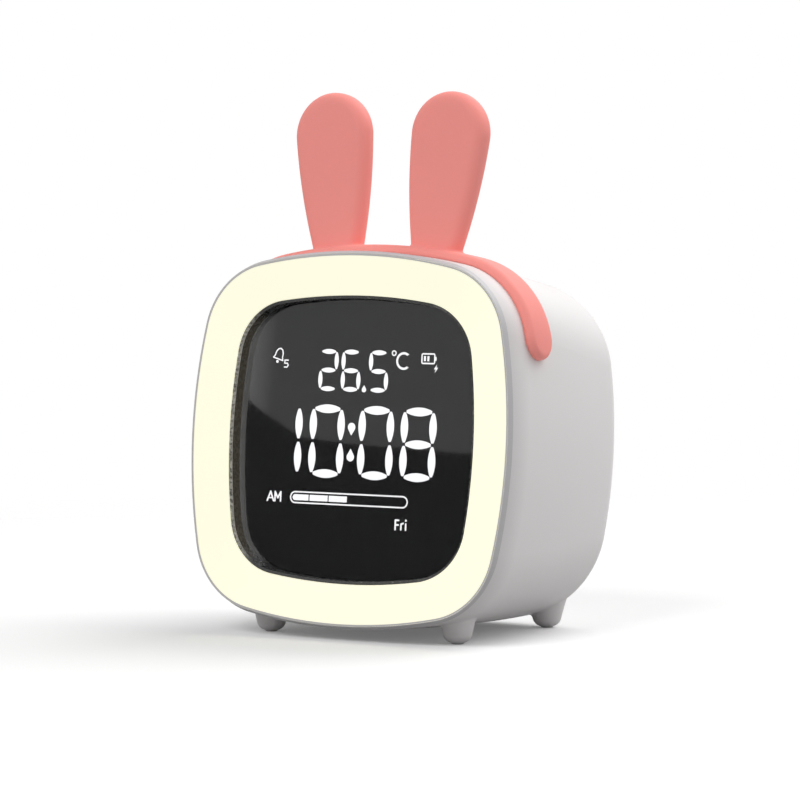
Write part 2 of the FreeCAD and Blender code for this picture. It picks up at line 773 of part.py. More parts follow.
def front_board_screws():
    length = FRONT_BOARD_THICKNESS + SCREW_BITE - 2 * SCREW_R
    return Part.makeCompound([screw(x, z, BOARD_REAR, length)
                              for x, z in tray_corner_places()])


def front_pack_screws():
    length = LUG_THICKNESS + FRONT_BOARD_THICKNESS + SCREW_BITE - 2 * SCREW_R
    return Part.makeCompound([screw(x, z, LUG_REAR, length) for x, z in tray_side_places()])


# Marks on the display

def mark(face_wire):
    """Thin tablet of light with the given outline, flush with the display's front."""
    return Part.Face(face_wire).extrude(V(0, MARK_DEPTH, 0))


def at(x, z):
    return V(x, DISPLAY_FRONT, z)


def stroke_segment(x0, z0, x1, z1, width):
    """One bar of a number: widest in its middle and narrow at its blunt ends."""
    start = at(x0, z0)
    end = at(x1, z1)
    along = end - start
    along.normalize()
    across = V(-along.z, 0, along.x)
    middle = (start + end) * 0.5
    tip = across * (width * STROKE_TIP_SHARE)
    belly = across * (width / 2)
    edges = [
        Part.LineSegment(start - tip, start + tip).toShape(),
        Part.Arc(start + tip, middle + belly, end + tip).toShape(),
        Part.LineSegment(end + tip, end - tip).toShape(),
        Part.Arc(end - tip, middle - belly, start - tip).toShape(),
    ]
    return mark(Part.Wire(edges))


SEGMENTS = {"0": "abcdef", "1": "bc", "2": "abdeg", "5": "acdfg", "6": "acdefg", "8": "abcdefg"}


def number(name, x, z, half_width, half_height, width):
    """The lit bars of one number, named a to g clockwise from the top with g across the middle."""
    gap = width * STROKE_GAP_SHARE
    end = half_width - gap
    top = half_height - gap / 2
    bars = {
        "a": (-end, half_height, end, half_height),
        "b": (half_width, gap, half_width, top),
        "c": (half_width, -top, half_width, -gap),
        "d": (-end, -half_height, end, -half_height),
        "e": (-half_width, -top, -half_width, -gap),
        "f": (-half_width, gap, -half_width, top),
        "g": (-end, 0, end, 0),
    }
    marks = []
    for letter in SEGMENTS[name]:
        x0, z0, x1, z1 = bars[letter]
        marks.append(stroke_segment(x + x0, z + z0, x + x1, z + z1, width))
    return marks


def drop_mark(x, z, radius, up):
    """Tear shape with its point up or down."""
    wide, high = DROP_SHOULDER_SHARES
    tip = at(x, z + up * radius * DROP_TIP_SHARE)
    left = at(x - radius * wide, z + up * radius * high)
    right = at(x + radius * wide, z + up * radius * high)
    bottom = at(x, z - up * radius)
    edges = [
        Part.Arc(left, bottom, right).toShape(),
        Part.LineSegment(right, tip).toShape(),
        Part.LineSegment(tip, left).toShape(),
    ]
    return mark(Part.Wire(edges))


def stick(points, width):
    """Line of a letter or sign: straight strokes with round ends, joined into one tablet."""
    pieces = []
    for (x0, z0), (x1, z1) in zip(points, points[1:]):
        along = at(x1, z1) - at(x0, z0)
        length = along.Length
        along.normalize()
        across = V(-along.z, 0, along.x) * (width / 2)
        start = at(x0, z0)
        end = at(x1, z1)
        wire = Part.makePolygon([start - across, start + across, end + across, end - across, start - across])
        pieces.append(mark(wire))
    for x, z in points:
        pieces.append(rod(x, z, DISPLAY_FRONT, DISPLAY_FRONT + MARK_DEPTH, width / 2))
    return joined(pieces)


def hoop(x, z, radius, width):
    outer = rod(x, z, DISPLAY_FRONT, DISPLAY_FRONT + MARK_DEPTH, radius)
    return outer.cut(rod(x, z, DISPLAY_FRONT - OVER, DISPLAY_FRONT + OVER, radius - width))


def pill(x0, x1, z0, z1):
    """Bar with round ends."""
    return rounded_box(x0, x1, DISPLAY_FRONT, DISPLAY_FRONT + MARK_DEPTH, z0, z1, (z1 - z0) / 2 - NEAR)


def time_marks():
    marks = []
    for name, x in TIME_DIGITS:
        marks += number(name, x, TIME_Z, BIG_HALF_WIDTH, BIG_HALF_HEIGHT, BIG_STROKE)
    marks.append(drop_mark(COLON_X, TIME_Z + COLON_SPREAD, COLON_R, -1))
    marks.append(drop_mark(COLON_X, TIME_Z - COLON_SPREAD, COLON_R, 1))
    return marks


def warmth_marks():
    """Room temperature with its degree sign."""
    marks = []
    for name, x in WARMTH_DIGITS:
        marks += number(name, x, WARMTH_Z, SMALL_HALF_WIDTH, SMALL_HALF_HEIGHT, SMALL_STROKE)
    marks.append(drop_mark(POINT_X, WARMTH_Z - SMALL_HALF_HEIGHT, SMALL_STROKE / 2, 1))
    marks.append(hoop(DEGREE_X, WARMTH_Z + SMALL_HALF_HEIGHT, DEGREE_R, THIN_STROKE))
    letter_z = WARMTH_Z + SMALL_HALF_HEIGHT + SMALL_STROKE / 2 - LETTER_C_DROP - LETTER_C_R
    ring = hoop(LETTER_C_X, letter_z, LETTER_C_R, C_STROKE)
    bite = box(LETTER_C_X + LETTER_C_MOUTH_X, LETTER_C_X + 2 * LETTER_C_R, DISPLAY_FRONT - OVER,
               DISPLAY_FRONT + OVER, letter_z - LETTER_C_MOUTH_HALF, letter_z + LETTER_C_MOUTH_HALF)
    marks.append(ring.cut(bite))
    return marks


def letter(points, x, z):
    """A letter or sign from strokes through points given in its own frame."""
    return [(x + dx, z + dz) for dx, dz in points]


def letter_marks():
    """AM at the left and Fri at the right, in plain strokes."""
    marks = []
    a_x, m_x = DAY_HALF_X
    legs = stick(letter(LETTER_A, a_x, DAY_HALF_Z), FINE_STROKE)
    marks.append(legs.fuse(stick(letter(LETTER_A_BAR, a_x, DAY_HALF_Z), THIN_STROKE)))
    marks.append(stick(letter(LETTER_M, m_x, DAY_HALF_Z), FINE_STROKE))
    stem_x, r_x, i_x = WEEKDAY_X
    arms = stick(letter(LETTER_F_STEM, stem_x, WEEKDAY_Z), FINE_STROKE)
    marks.append(arms.fuse(stick(letter(LETTER_F_BAR, stem_x, WEEKDAY_Z), FINE_STROKE)))
    marks.append(stick(letter(LETTER_R, r_x, WEEKDAY_Z), FINE_STROKE))
    marks.append(stick(letter(LETTER_I, i_x, WEEKDAY_Z), FINE_STROKE))
    dot_z = WEEKDAY_Z + LETTER_I_DOT_Z
    marks.append(rod(i_x, dot_z, DISPLAY_FRONT, DISPLAY_FRONT + MARK_DEPTH, LETTER_I_DOT_R))
    return marks


def level_bar():
    """Long pill outline with its first shares lit."""
    x, z = BAR_CENTRE
    half = BAR_LENGTH / 2
    high = BAR_HEIGHT / 2
    line = BAR_LINE
    outer = pill(x - half, x + half, z - high, z + high)
    hole = pill(x - half + line, x + half - line, z - high + line, z + high - line)
    marks = [outer.cut(hole)]
    gap = line + BAR_GAP
    filled = pill(x - half + gap, x + half - gap, z - high + gap, z + high - gap)
    share = BAR_FILLED / BAR_SHARES
    for index in range(BAR_SHARES):
        left = x - half + index * share + (BAR_DIVIDER / 2 if index else 0)
        right = x - half + (index + 1) * share - BAR_DIVIDER / 2
        window = box(left, right, DISPLAY_FRONT - OVER, DISPLAY_FRONT + OVER, z - high, z + high)
        marks.append(filled.common(window))
    return marks


def battery_marks():
    x, z = BATTERY_MARK
    wide, high = BATTERY_MARK_SIZE
    line = BATTERY_MARK_LINE
    rear = DISPLAY_FRONT + MARK_DEPTH
    outer = rounded_box(x, x + wide, DISPLAY_FRONT, rear, z, z + high, BATTERY_MARK_R)
    hole = box(x + line, x + wide - line, DISPLAY_FRONT - OVER, rear + OVER, z + line, z + high - line)
    knob_low = z + (high - BATTERY_KNOB) / 2
    knob = box(x + wide, x + wide + line, DISPLAY_FRONT, rear, knob_low, knob_low + BATTERY_KNOB)
    marks = [outer.cut(hole).fuse(knob)]
    low = z + (high - BATTERY_BAR_HEIGHT) / 2
    for offset in BATTERY_BARS:
        left = x + offset
        marks.append(box(left, left + BATTERY_BAR_WIDTH, DISPLAY_FRONT, rear, low, low + BATTERY_BAR_HEIGHT))
    corners = [at(*point) for point in letter(BOLT_OUTLINE, *BOLT_MARK)]
    marks.append(mark(Part.makePolygon(corners + corners[:1])))
    return marks


def bell_marks():
    """Bell outline with its clapper, and a small count beside it."""
    x, z = BELL_MARK
    dome = stick(letter(BELL_OUTLINE, x, z), BELL_LINE)
    clapper = rod(x, z - CLAPPER_DROP, DISPLAY_FRONT, DISPLAY_FRONT + MARK_DEPTH, CLAPPER_R)
    bell = [dome, clapper]
    for shape in bell:
        shape.rotate(at(x, z), V(0, 1, 0), BELL_TURN)
    return bell + [stick(letter(COUNT_OUTLINE, *ALARM_COUNT), THIN_STROKE)]


def sign_marks():
    return bell_marks() + battery_marks() + level_bar() + letter_marks()


def on_film(marks):
    """Marks drawn for the film's own width, fitted to the width of the screen."""
    for shape in marks:
        shape.scale(FILM_SCALE, at(0, 0))
    return marks


def display_block(marks):
    """Black display body: a rim that holds the window, and a shallow pocket for each lit mark."""
    body = prism(inset(SCREEN, DISPLAY_GAP), WINDOW_REAR, BOARD_FRONT)
    well = prism(inset(SCREEN, DISPLAY_GAP + DISPLAY_RIM), WINDOW_REAR - OVER, DISPLAY_FRONT)
    return body.cut([well] + marks)


# Soft headband with its ears

def band_profile():
    """Side view of the headband: a strip with round ends, carried over the top of the case."""
    radius = BAND_WIDTH / 2
    low = BAND_END + radius
    front = V(0, BAND_FRONT, low)
    bottom = V(0, BAND_MIDDLE, BAND_END)
    rear = V(0, BAND_FRONT + BAND_WIDTH, low)
    reach = FACE_HALF + 3 * BAND_THICKNESS
    edges = [
        Part.Arc(front, bottom, rear).toShape(),
        Part.LineSegment(rear, V(0, rear.y, reach)).toShape(),
        Part.LineSegment(V(0, rear.y, reach), V(0, front.y, reach)).toShape(),
        Part.LineSegment(V(0, front.y, reach), front).toShape(),
    ]
    face = Part.Face(Part.Wire(edges))
    face.translate(V(-reach, 0, 0))
    return face.extrude(V(2 * reach, 0, 0))


def ear(side):
    """One ear: a flat drop-shaped slab with well rounded edges, leaning outwards."""
    span = math.hypot(EAR_BASE_HALF, EAR_REACH)
    offset = EAR_SIDE_R - EAR_TIP_R
    across = (EAR_SIDE_R ** 2 - offset ** 2 - span ** 2) / (2 * offset)
    draw_in = math.asin(across / span) - math.atan2(EAR_BASE_HALF, EAR_REACH)
    touch = (EAR_TIP_R * math.cos(draw_in), -EAR_TIP_R * math.sin(draw_in))
    centre = (-offset * math.cos(draw_in), offset * math.sin(draw_in))
    low_turn = math.asin((-EAR_REACH - centre[1]) / EAR_SIDE_R)
    turn = (low_turn - draw_in) / 2
    flank = (centre[0] + EAR_SIDE_R * math.cos(turn), centre[1] + EAR_SIDE_R * math.sin(turn))
    root = 2 * BAND_THICKNESS
    y = EAR_CENTRE_Y - EAR_THICKNESS / 2
    half = [(EAR_BASE_HALF, -root), (EAR_BASE_HALF, 0), (flank[0], EAR_REACH + flank[1]),
            (touch[0], EAR_REACH + touch[1])]
    right = [V(x, y, z) for x, z in half]
    left = [V(-x, y, z) for x, z in half]
    edges = [
        Part.LineSegment(left[0], right[0]).toShape(),
        Part.LineSegment(right[0], right[1]).toShape(),
        Part.Arc(right[1], right[2], right[3]).toShape(),
        Part.Arc(right[3], V(0, y, EAR_REACH + EAR_TIP_R), left[3]).toShape(),
        Part.Arc(left[3], left[2], left[1]).toShape(),
        Part.LineSegment(left[1], left[0]).toShape(),
    ]
    body = Part.Face(Part.Wire(edges)).extrude(V(0, EAR_THICKNESS, 0))
    rims = [e for e in body.Edges if e.BoundBox.YLength < NEAR and e.BoundBox.ZMax > -root + NEAR]
    body = body.makeFillet(EAR_EDGE_R, rims)
    body.rotate(V(0, 0, 0), V(0, 1, 0), side * EAR_SPLAY)
    band_top = side_reach(case_shape(EAR_CENTRE_Y), EAR_BASE_X) + BAND_THICKNESS
    body.translate(V(side * EAR_BASE_X, 0, band_top + EAR_LIFT))
    return body


def ear_band(outside):
    """Headband, ears and the pegs that hold them to the case, moulded in one piece."""
    hoop_shape = inset(case_shape(BAND_MIDDLE), -BAND_THICKNESS)
    strip = prism(hoop_shape, BAND_FRONT - OVER, BAND_FRONT + BAND_WIDTH + OVER).common(band_profile())
    outer_edges = [e for e in strip.Edges if on_outside(e, hoop_shape)]
    strip = strip.makeFillet(BAND_EDGE_R, outer_edges)
    soft = strip.fuse([ear(-1), ear(1)]).cut(outside)
    pegs = []
    for side in (-1, 1):
        inner = ceiling(PEG_X + PEG_HEAD_R, PEG_Y) - PEG_GAP
        outer = side_reach(case_shape(PEG_Y), PEG_X) + BAND_THICKNESS / 2
        base = V(side * PEG_X, PEG_Y, inner - PEG_HEAD_HEIGHT)
        pegs.append(Part.makeCylinder(PEG_R, outer - base.z, base))
        pegs.append(Part.makeCylinder(PEG_HEAD_R, PEG_HEAD_HEIGHT, base))
    return soft.fuse(pegs).removeSplitter()


def on_outside(edge, shape):
    """Whether an edge lies on the headband's outer surface, between its two ends."""
    for point in edge.discretize(5):
        reach = max(abs(point.x), abs(point.z))
        offset = min(abs(point.x), abs(point.z))
        centre = corner_centre(shape)
        if offset > centre and reach < side_reach(shape, offset) - NEAR:
            from_corner = math.hypot(abs(point.x) - centre, abs(point.z) - centre)
            if abs(from_corner - shape[2]) > NEAR:
                return False
        elif offset <= centre and abs(reach - side_reach(shape, offset)) > NEAR:
            return False
    return edge.BoundBox.YLength < BAND_WIDTH - NEAR or edge.BoundBox.XLength > NEAR


# Rear cover

def port_slot(gap):
    wide = PORT_WIDTH / 2 + gap
    high = PORT_HEIGHT / 2 + gap
    return rounded_box(-wide, wide, MAIN_REAR, COVER_OUTER + OVER, PORT_Z - high, PORT_Z + high, high - NEAR)


def grille_places():
    """Speaker holes: one in the middle and rings of six, twelve and eighteen."""
    places = [(0, SPEAKER_Z)]
    for ring in range(1, GRILLE_RINGS + 1):
        for index in range(6 * ring):
            angle = 2 * math.pi * index / (6 * ring)
            radius = ring * GRILLE_PITCH
            places.append((radius * math.cos(angle), SPEAKER_Z + radius * math.sin(angle)))
    return places


def button_places():
    middle = (len(BUTTON_NAMES) - 1) / 2
    return [((index - middle) * BUTTON_PITCH, BUTTON_Z) for index in range(len(BUTTON_NAMES))]


def post_places():
    """Where the main board is screwed to the cover: two places near its top and two on its foot."""
    side, down = POST_INSET
    foot_side, up = FOOT_POST_INSET
    return ([(sx * (MAIN_BOARD_HALF - side), MAIN_BOARD_TOP - down) for sx in (-1, 1)]
            + [(sx * (MAIN_BOARD_FOOT_HALF - foot_side), MAIN_BOARD_BOTTOM + up) for sx in (-1, 1)])


def rear_cover():
    """Flat cover in the rear opening, with posts for the main board and a collar for the speaker."""
    plate = prism(COVER, COVER_INNER, COVER_OUTER)
    posts = [rod(x, z, MAIN_REAR, COVER_INNER, POST_R) for x, z in post_places()]
    collar_front = COVER_INNER - SPEAKER_WALL_DEPTH
    collar = rod(0, SPEAKER_Z, collar_front, COVER_INNER, SPEAKER_R + FIT + SPEAKER_WALL)
    collar = collar.cut(rod(0, SPEAKER_Z, collar_front - OVER, COVER_INNER, SPEAKER_R + FIT))
    body = plate.fuse(posts + [collar]).removeSplitter()
    low = COVER_INNER - OVER
    high = COVER_OUTER + OVER
    cuts = [rod(x, z, low, high, BUTTON_R + BUTTON_GAP) for x, z in button_places()]
    cuts += [rod(x, z, low, high, GRILLE_HOLE_R) for x, z in grille_places()]
    cuts += [rod(x, z, low, high, SCREW_CLEARANCE_R) for x, z in mirrored_pair(COVER_SCREW, COVER_SCREW)]
    cuts += [rod(x, z, COVER_OUTER - COVER_HEAD_DEPTH, high, COVER_HEAD_R)
             for x, z in mirrored_pair(COVER_SCREW, COVER_SCREW)]
    cuts += [rod(x, z, MAIN_REAR - OVER, MAIN_REAR + SCREW_BITE, SCREW_R) for x, z in post_places()]
    cuts.append(port_slot(PORT_GAP))
    cuts.append(rod(RESET_X, PORT_Z, low, high, RESET_R))
    for index in range(VENT_COUNT):
        x = PROBE_X + (index - (VENT_COUNT - 1) / 2) * VENT_PITCH
        cuts.append(box(x - VENT_WIDTH / 2, x + VENT_WIDTH / 2, low, high,
                        PORT_Z - VENT_LENGTH / 2, PORT_Z + VENT_LENGTH / 2))
    return body.cut(cuts)


def rear_cover_screws():
    seat = COVER_OUTER - COVER_HEAD_DEPTH
    length = seat - COVER_INNER + SCREW_BITE - SCREW_R
    return Part.makeCompound([screw(x, z, seat, length) for x, z in mirrored_pair(COVER_SCREW, COVER_SCREW)])


def button_cap(x, z):
    """Round button with a dished top and a flange that keeps it behind the cover."""
    flange_rear = COVER_INNER - BUTTON_REST_GAP
    top = COVER_OUTER + BUTTON_PROUD
    cap = rod(x, z, flange_rear - BUTTON_FLANGE, top, BUTTON_R)
    cap = cap.makeFillet(BUTTON_EDGE_R, [e for e in cap.Edges if e.BoundBox.YMin > top - NEAR])
    flange = rod(x, z, flange_rear - BUTTON_FLANGE, flange_rear, BUTTON_FLANGE_R)
    dish = Part.makeSphere(BUTTON_DISH_R, V(x, top + BUTTON_DISH_R - BUTTON_DISH_DEPTH, z))
    return cap.fuse(flange).removeSplitter().cut(dish)


def button_plunger(x, z):
    """Stem under the button that reaches into its switch."""
    return rod(x, z, SWITCH_TOP - PLUNGER_DEPTH, COVER_INNER - BUTTON_REST_GAP - BUTTON_FLANGE, PLUNGER_R)


def button_switches():
    """Square switches on the main board, each with a well for its plunger."""
    switches = []
    well = PLUNGER_DEPTH + BUTTON_TRAVEL + SWITCH_STOP
    for x, z in button_places():
        half = SWITCH_SIDE / 2
        body = box(x - half, x + half, MAIN_REAR, SWITCH_TOP, z - half, z + half)
        switches.append(body.cut(rod(x, z, SWITCH_TOP - well, SWITCH_TOP + OVER, PLUNGER_R + PLUNGER_GAP)))
    return Part.makeCompound(switches)


# Main board and what is on it

def main_board():
    half = MAIN_BOARD_HALF
    foot_half = MAIN_BOARD_FOOT_HALF
    wide = box(-half, half, MAIN_FRONT, MAIN_REAR, MAIN_BOARD_STEP, MAIN_BOARD_TOP)
    narrow = box(-foot_half, foot_half, MAIN_FRONT, MAIN_REAR, MAIN_BOARD_BOTTOM, MAIN_BOARD_STEP)
    body = joined([wide, narrow])
    holes = [rod(x, z, MAIN_FRONT - OVER, MAIN_REAR + OVER, SCREW_CLEARANCE_R) for x, z in post_places()]
    return body.cut(holes)


def main_board_screws():
    """Screws through the board into the cover's posts, driven from the front."""
    length = MAIN_BOARD_THICKNESS + SCREW_BITE - SCREW_R
    screws = []
    for x, z in post_places():
        body = screw(0, 0, 0, length)
        body.rotate(V(0, 0, 0), V(0, 0, 1), 180)
        body.translate(V(x, MAIN_FRONT, z))
        screws.append(body)
    return Part.makeCompound(screws)


def main_board_chips():
    """Controller, memory, charger and the larger parts on the board's inner side."""
    chips = []
    for x, z, wide, high, tall in CHIPS:
        top = MAIN_BOARD_TOP + z + high / 2
        chips.append(box(x - wide / 2, x + wide / 2, MAIN_FRONT - tall, MAIN_FRONT, top - high, top))
    for x, z, radius, tall in CANS:
        chips.append(rod(x, MAIN_BOARD_TOP + z, MAIN_FRONT - tall, MAIN_FRONT, radius))
    return Part.makeCompound(chips)


def usb_socket():
    """Charging socket that stands on the board and ends just inside the cover's slot."""
    wide = PORT_WIDTH / 2
    high = PORT_HEIGHT / 2
    rear = COVER_OUTER - PORT_SINK
    body = rounded_box(-wide, wide, MAIN_REAR, rear, PORT_Z - high, PORT_Z + high, high - NEAR)
    inner_w = wide - PORT_WALL
    inner_h = high - PORT_WALL
    hollow = rounded_box(-inner_w, inner_w, rear - PORT_DEPTH, rear + OVER,
                         PORT_Z - inner_h, PORT_Z + inner_h, inner_h - NEAR)
    tongue = box(-TONGUE_WIDTH / 2, TONGUE_WIDTH / 2, rear - PORT_DEPTH - NEAR, rear - OVER / 2,
                 PORT_Z - TONGUE_HEIGHT / 2, PORT_Z + TONGUE_HEIGHT / 2)
    return body.cut(hollow).fuse(tongue).removeSplitter()


def tap_sensor():
    """Small can that feels a tap on the case."""
    left = TAP_SENSOR_X - TAP_SENSOR_LENGTH / 2
    start = V(left, MAIN_FRONT - TAP_SENSOR_R, MAIN_BOARD_TOP - TAP_SENSOR_DROP)
    return Part.makeCylinder(TAP_SENSOR_R, TAP_SENSOR_LENGTH, start, V(1, 0, 0))


def temperature_probe():
    """Bead on two legs, just inside the vent."""
    centre = MAIN_REAR + PROBE_REACH
    bead = Part.makeSphere(PROBE_R, V(PROBE_X, centre, PORT_Z))
    legs = [rod(PROBE_X + side * PROBE_R / 2, PORT_Z, MAIN_REAR, centre, PROBE_LEG_R) for side in (-1, 1)]
    return joined([bead] + legs)


# Speaker

def speaker_basket():
    rear = COVER_INNER
    rim_front = rear - SPEAKER_RIM
    cup_front = rim_front - SPEAKER_CUP_DEPTH
    inner = SPEAKER_R - SPEAKER_RIM_WIDTH
    cup_rear = cup_front + SPEAKER_SHELL
    hole = MAGNET_R - SPEAKER_RIM_WIDTH
    profile = [(inner, rear), (SPEAKER_R, rear), (SPEAKER_R, rim_front),
               (SPEAKER_R - SPEAKER_LEDGE, rim_front), (SPEAKER_CUP_R, cup_front), (hole, cup_front),
               (hole, cup_rear), (SPEAKER_CUP_R - SPEAKER_SHELL, cup_rear), (inner, rim_front)]
    return lathe(profile, 0, SPEAKER_Z)


def speaker_cone():
    """Paper cone, open behind, with its edge held in the basket's rim."""
    rear = COVER_INNER - SPEAKER_RIM / 2
    inner = SPEAKER_R - SPEAKER_RIM_WIDTH
    drop = rear - CONE_DROP
    front_edge = inner - CONE_SURROUND
    back_edge = front_edge - CONE_THICKNESS / 2
    thick = CONE_THICKNESS
    profile = [(0, drop), (CONE_NECK_R, drop), (front_edge, rear), (inner, rear), (inner, rear + thick),
               (back_edge, rear + thick), (CONE_NECK_R, drop + thick), (0, drop + thick)]
    return lathe(profile, 0, SPEAKER_Z)


def speaker_magnet():
    seat = COVER_INNER - SPEAKER_RIM - SPEAKER_CUP_DEPTH
    return rod(0, SPEAKER_Z, seat - MAGNET_HEIGHT, seat, MAGNET_R)


def speaker_leads():
    """Two leads from the basket's rim, over the board's top edge, to its inner side."""
    start = COVER_INNER - SPEAKER_RIM
    deep = MAIN_FRONT - SPEAKER_LEAD_ROOM
    reach = SOCKET_WIDTH / 2 + SPEAKER_LEAD_GAP
    leads = []
    for x in (-reach, reach):
        drop = math.sqrt((SPEAKER_R - SPEAKER_LEDGE / 2) ** 2 - x ** 2)
        top = SPEAKER_Z - drop
        low = MAIN_BOARD_TOP - SPEAKER_LEAD_LANDING
        leads.append(lead([(x, start, top), (x, deep, top), (x, deep, low), (x, MAIN_FRONT, low)], LEAD_R))
    return Part.makeCompound(leads)


# Battery

def battery_cell():
    start = V(-CELL_LENGTH / 2, CELL_Y, CELL_Z)
    cell = Part.makeCylinder(CELL_R, CELL_LENGTH - CELL_CAP_LENGTH, start, V(1, 0, 0))
    cell = cell.makeFillet(CELL_EDGE_R, [e for e in cell.Edges if e.BoundBox.XLength < NEAR])
    cap = Part.makeCylinder(CELL_CAP_R, CELL_CAP_LENGTH,
                            V(CELL_LENGTH / 2 - CELL_CAP_LENGTH, CELL_Y, CELL_Z), V(1, 0, 0))
    return joined([cell, cap])


def battery_cradle():
    """Plate with two saddles that hug the lower half of the cell."""
    plate = box(-CRADLE_LENGTH / 2, CRADLE_LENGTH / 2, CELL_Y - CRADLE_DEPTH / 2, CELL_Y + CRADLE_DEPTH / 2,
                CRADLE_SEAT, CRADLE_TOP)
    reach = CELL_R + CRADLE_GAP + SADDLE_WALL
    saddles = [box(side * SADDLE_X - SADDLE_WIDTH / 2, side * SADDLE_X + SADDLE_WIDTH / 2, CELL_Y - reach,
                   CELL_Y + reach, CRADLE_TOP - NEAR, CELL_Z) for side in (-1, 1)]
    body = joined([plate] + saddles)
    bore_start = V(-CELL_LENGTH / 2, CELL_Y, CELL_Z)
    bore = Part.makeCylinder(CELL_R + CRADLE_GAP, CELL_LENGTH, bore_start, V(1, 0, 0))
    holes = [Part.makeCylinder(SCREW_CLEARANCE_R, 3 * CRADLE_PLATE, V(x, y, CRADLE_SEAT - CRADLE_PLATE))
             for x, y in cradle_screw_places()]
    return body.cut([bore] + holes)


def battery_cradle_screws():
    length = SCREW_BITE - SCREW_R / 2
    return Part.makeCompound([upright_screw(x, y, CRADLE_TOP, length) for x, y in cradle_screw_places()])


def battery_plug():
    wide, high, tall = PLUG_SIZE
    return box(PLUG_X - wide / 2, PLUG_X + wide / 2, MAIN_FRONT - tall, MAIN_FRONT,
               PLUG_Z - high / 2, PLUG_Z + high / 2)


def battery_leads():
    """Two leads from the cell's wrap to the plug on the main board."""
    angle = math.radians(BATTERY_LEAD_ANGLE)
    front = MAIN_FRONT - PLUG_SIZE[2]
    touch = CELL_R + BATTERY_LEAD_TOUCH
    raised = CELL_R + BATTERY_LEAD_ROOM
    leads = []
    for from_end, side in zip(BATTERY_LEAD_INSET, (-1, 1)):
        start_x = CELL_LENGTH / 2 - from_end
        end_x = PLUG_X + side * PLUG_PIN_PITCH / 2
        leads.append(lead([
            (start_x, CELL_Y + touch * math.cos(angle), CELL_Z + touch * math.sin(angle)),
            (start_x, CELL_Y + raised * math.cos(angle), CELL_Z + raised * math.sin(angle)),
            (end_x, front - BATTERY_LEAD_ROOM, PLUG_Z),
            (end_x, front, PLUG_Z)], LEAD_R))
    return Part.makeCompound(leads)


def ribbon_sockets():
    """One socket on the front board and one on the main board."""
    half = SOCKET_WIDTH / 2
    tall = SOCKET_HEIGHT / 2
    return Part.makeCompound([
        box(-half, half, BOARD_REAR, BOARD_REAR + SOCKET_DEPTH, RIBBON_Z - tall, RIBBON_Z + tall),
        box(-half, half, MAIN_FRONT - SOCKET_DEPTH, MAIN_FRONT, RIBBON_Z - tall, RIBBON_Z + tall)])


def display_ribbon():
    """Flat ribbon between the two boards, sagging a little."""
    front = BOARD_REAR + SOCKET_DEPTH
    rear = MAIN_FRONT - SOCKET_DEPTH
    middle = (front + rear) / 2
    x = -RIBBON_WIDTH / 2
    low = RIBBON_Z - RIBBON_THICKNESS
    edges = [
        Part.Arc(V(x, front, RIBBON_Z), V(x, middle, RIBBON_Z - RIBBON_SAG), V(x, rear, RIBBON_Z)).toShape(),
        Part.LineSegment(V(x, rear, RIBBON_Z), V(x, rear, low)).toShape(),
        Part.Arc(V(x, rear, low), V(x, middle, low - RIBBON_SAG), V(x, front, low)).toShape(),
        Part.LineSegment(V(x, front, low), V(x, front, RIBBON_Z)).toShape(),
    ]
    return Part.Face(Part.Wire(edges)).extrude(V(RIBBON_WIDTH, 0, 0))


# Putting it together

def stand_up(shape):
    """Lean a piece back with the case and lift it to its height above the table."""
    body = shape.copy()
    body.rotate(V(0, 0, 0), V(1, 0, 0), -CASE_TILT)
    body.translate(V(0, 0, FACE_HEIGHT))
    return body


def lie_back(shape):
    """The way back from stand_up(), for what is drawn plumb but moulded with the case."""
    body = shape.copy()
    body.translate(V(0, 0, -FACE_HEIGHT))
    body.rotate(V(0, 0, 0), V(1, 0, 0), CASE_TILT)
    return body


def build():
    outside = case_outside()
    time = on_film(time_marks())
    warmth = on_film(warmth_marks())
    signs = on_film(sign_marks())
    leaning = {
        "main_shell": main_shell(outside),
        "light_ring": light_ring(),
        "screen_bezel": screen_bezel(),
        "screen_window": screen_window(),
        "display_block": display_block(time + warmth + signs),
        "display_time": Part.makeCompound(time),
        "display_temperature": Part.makeCompound(warmth),
        "display_signs": Part.makeCompound(signs),
        "light_tray": light_tray(),
        "light_ring_lamps": light_ring_lamps(),
        "front_board": front_board(),
        "front_board_screws": front_board_screws(),
        "front_pack_screws": front_pack_screws(),
        "ear_band": ear_band(outside),
        "rear_cover": rear_cover(),
        "rear_cover_screws": rear_cover_screws(),
        "main_board": main_board(),
        "main_board_chips": main_board_chips(),
        "main_board_screws": main_board_screws(),
        "button_switches": button_switches(),
        "usb_socket": usb_socket(),
        "tap_sensor": tap_sensor(),
        "temperature_probe": temperature_probe(),
        "speaker_basket": speaker_basket(),
        "speaker_cone": speaker_cone(),
        "speaker_magnet": speaker_magnet(),
        "speaker_leads": speaker_leads(),
        "battery_cell": battery_cell(),
        "battery_cradle": battery_cradle(),
        "battery_cradle_screws": battery_cradle_screws(),
        "battery_plug": battery_plug(),
        "battery_leads": battery_leads(),
        "ribbon_sockets": ribbon_sockets(),
        "display_ribbon": display_ribbon(),
    }
    for name, (x, z) in zip(BUTTON_NAMES, button_places()):
        leaning[name + "_button"] = button_cap(x, z)
        leaning[name + "_plunger"] = button_plunger(x, z)
    for name, shape in leaning.items():
        nodes[name] = stand_up(shape)
    nodes["foot_pads"] = foot_pads()


def save():
    """Move the origin to the middle of the footprint and write one file for each piece."""
    boxes = [shape.optimalBoundingBox(False) for shape in nodes.values()]
    front = min(bounds.YMin for bounds in boxes)
    rear = max(bounds.YMax for bounds in boxes)
    os.makedirs("parts", exist_ok=True)
    for name, shape in nodes.items():
        shape.translate(V(0, -(front + rear) / 2, 0))
        shape.exportStep(os.path.join("parts", name + ".step"))
    print("face plane at y", round(-(front + rear) / 2, 4))


build()
save()
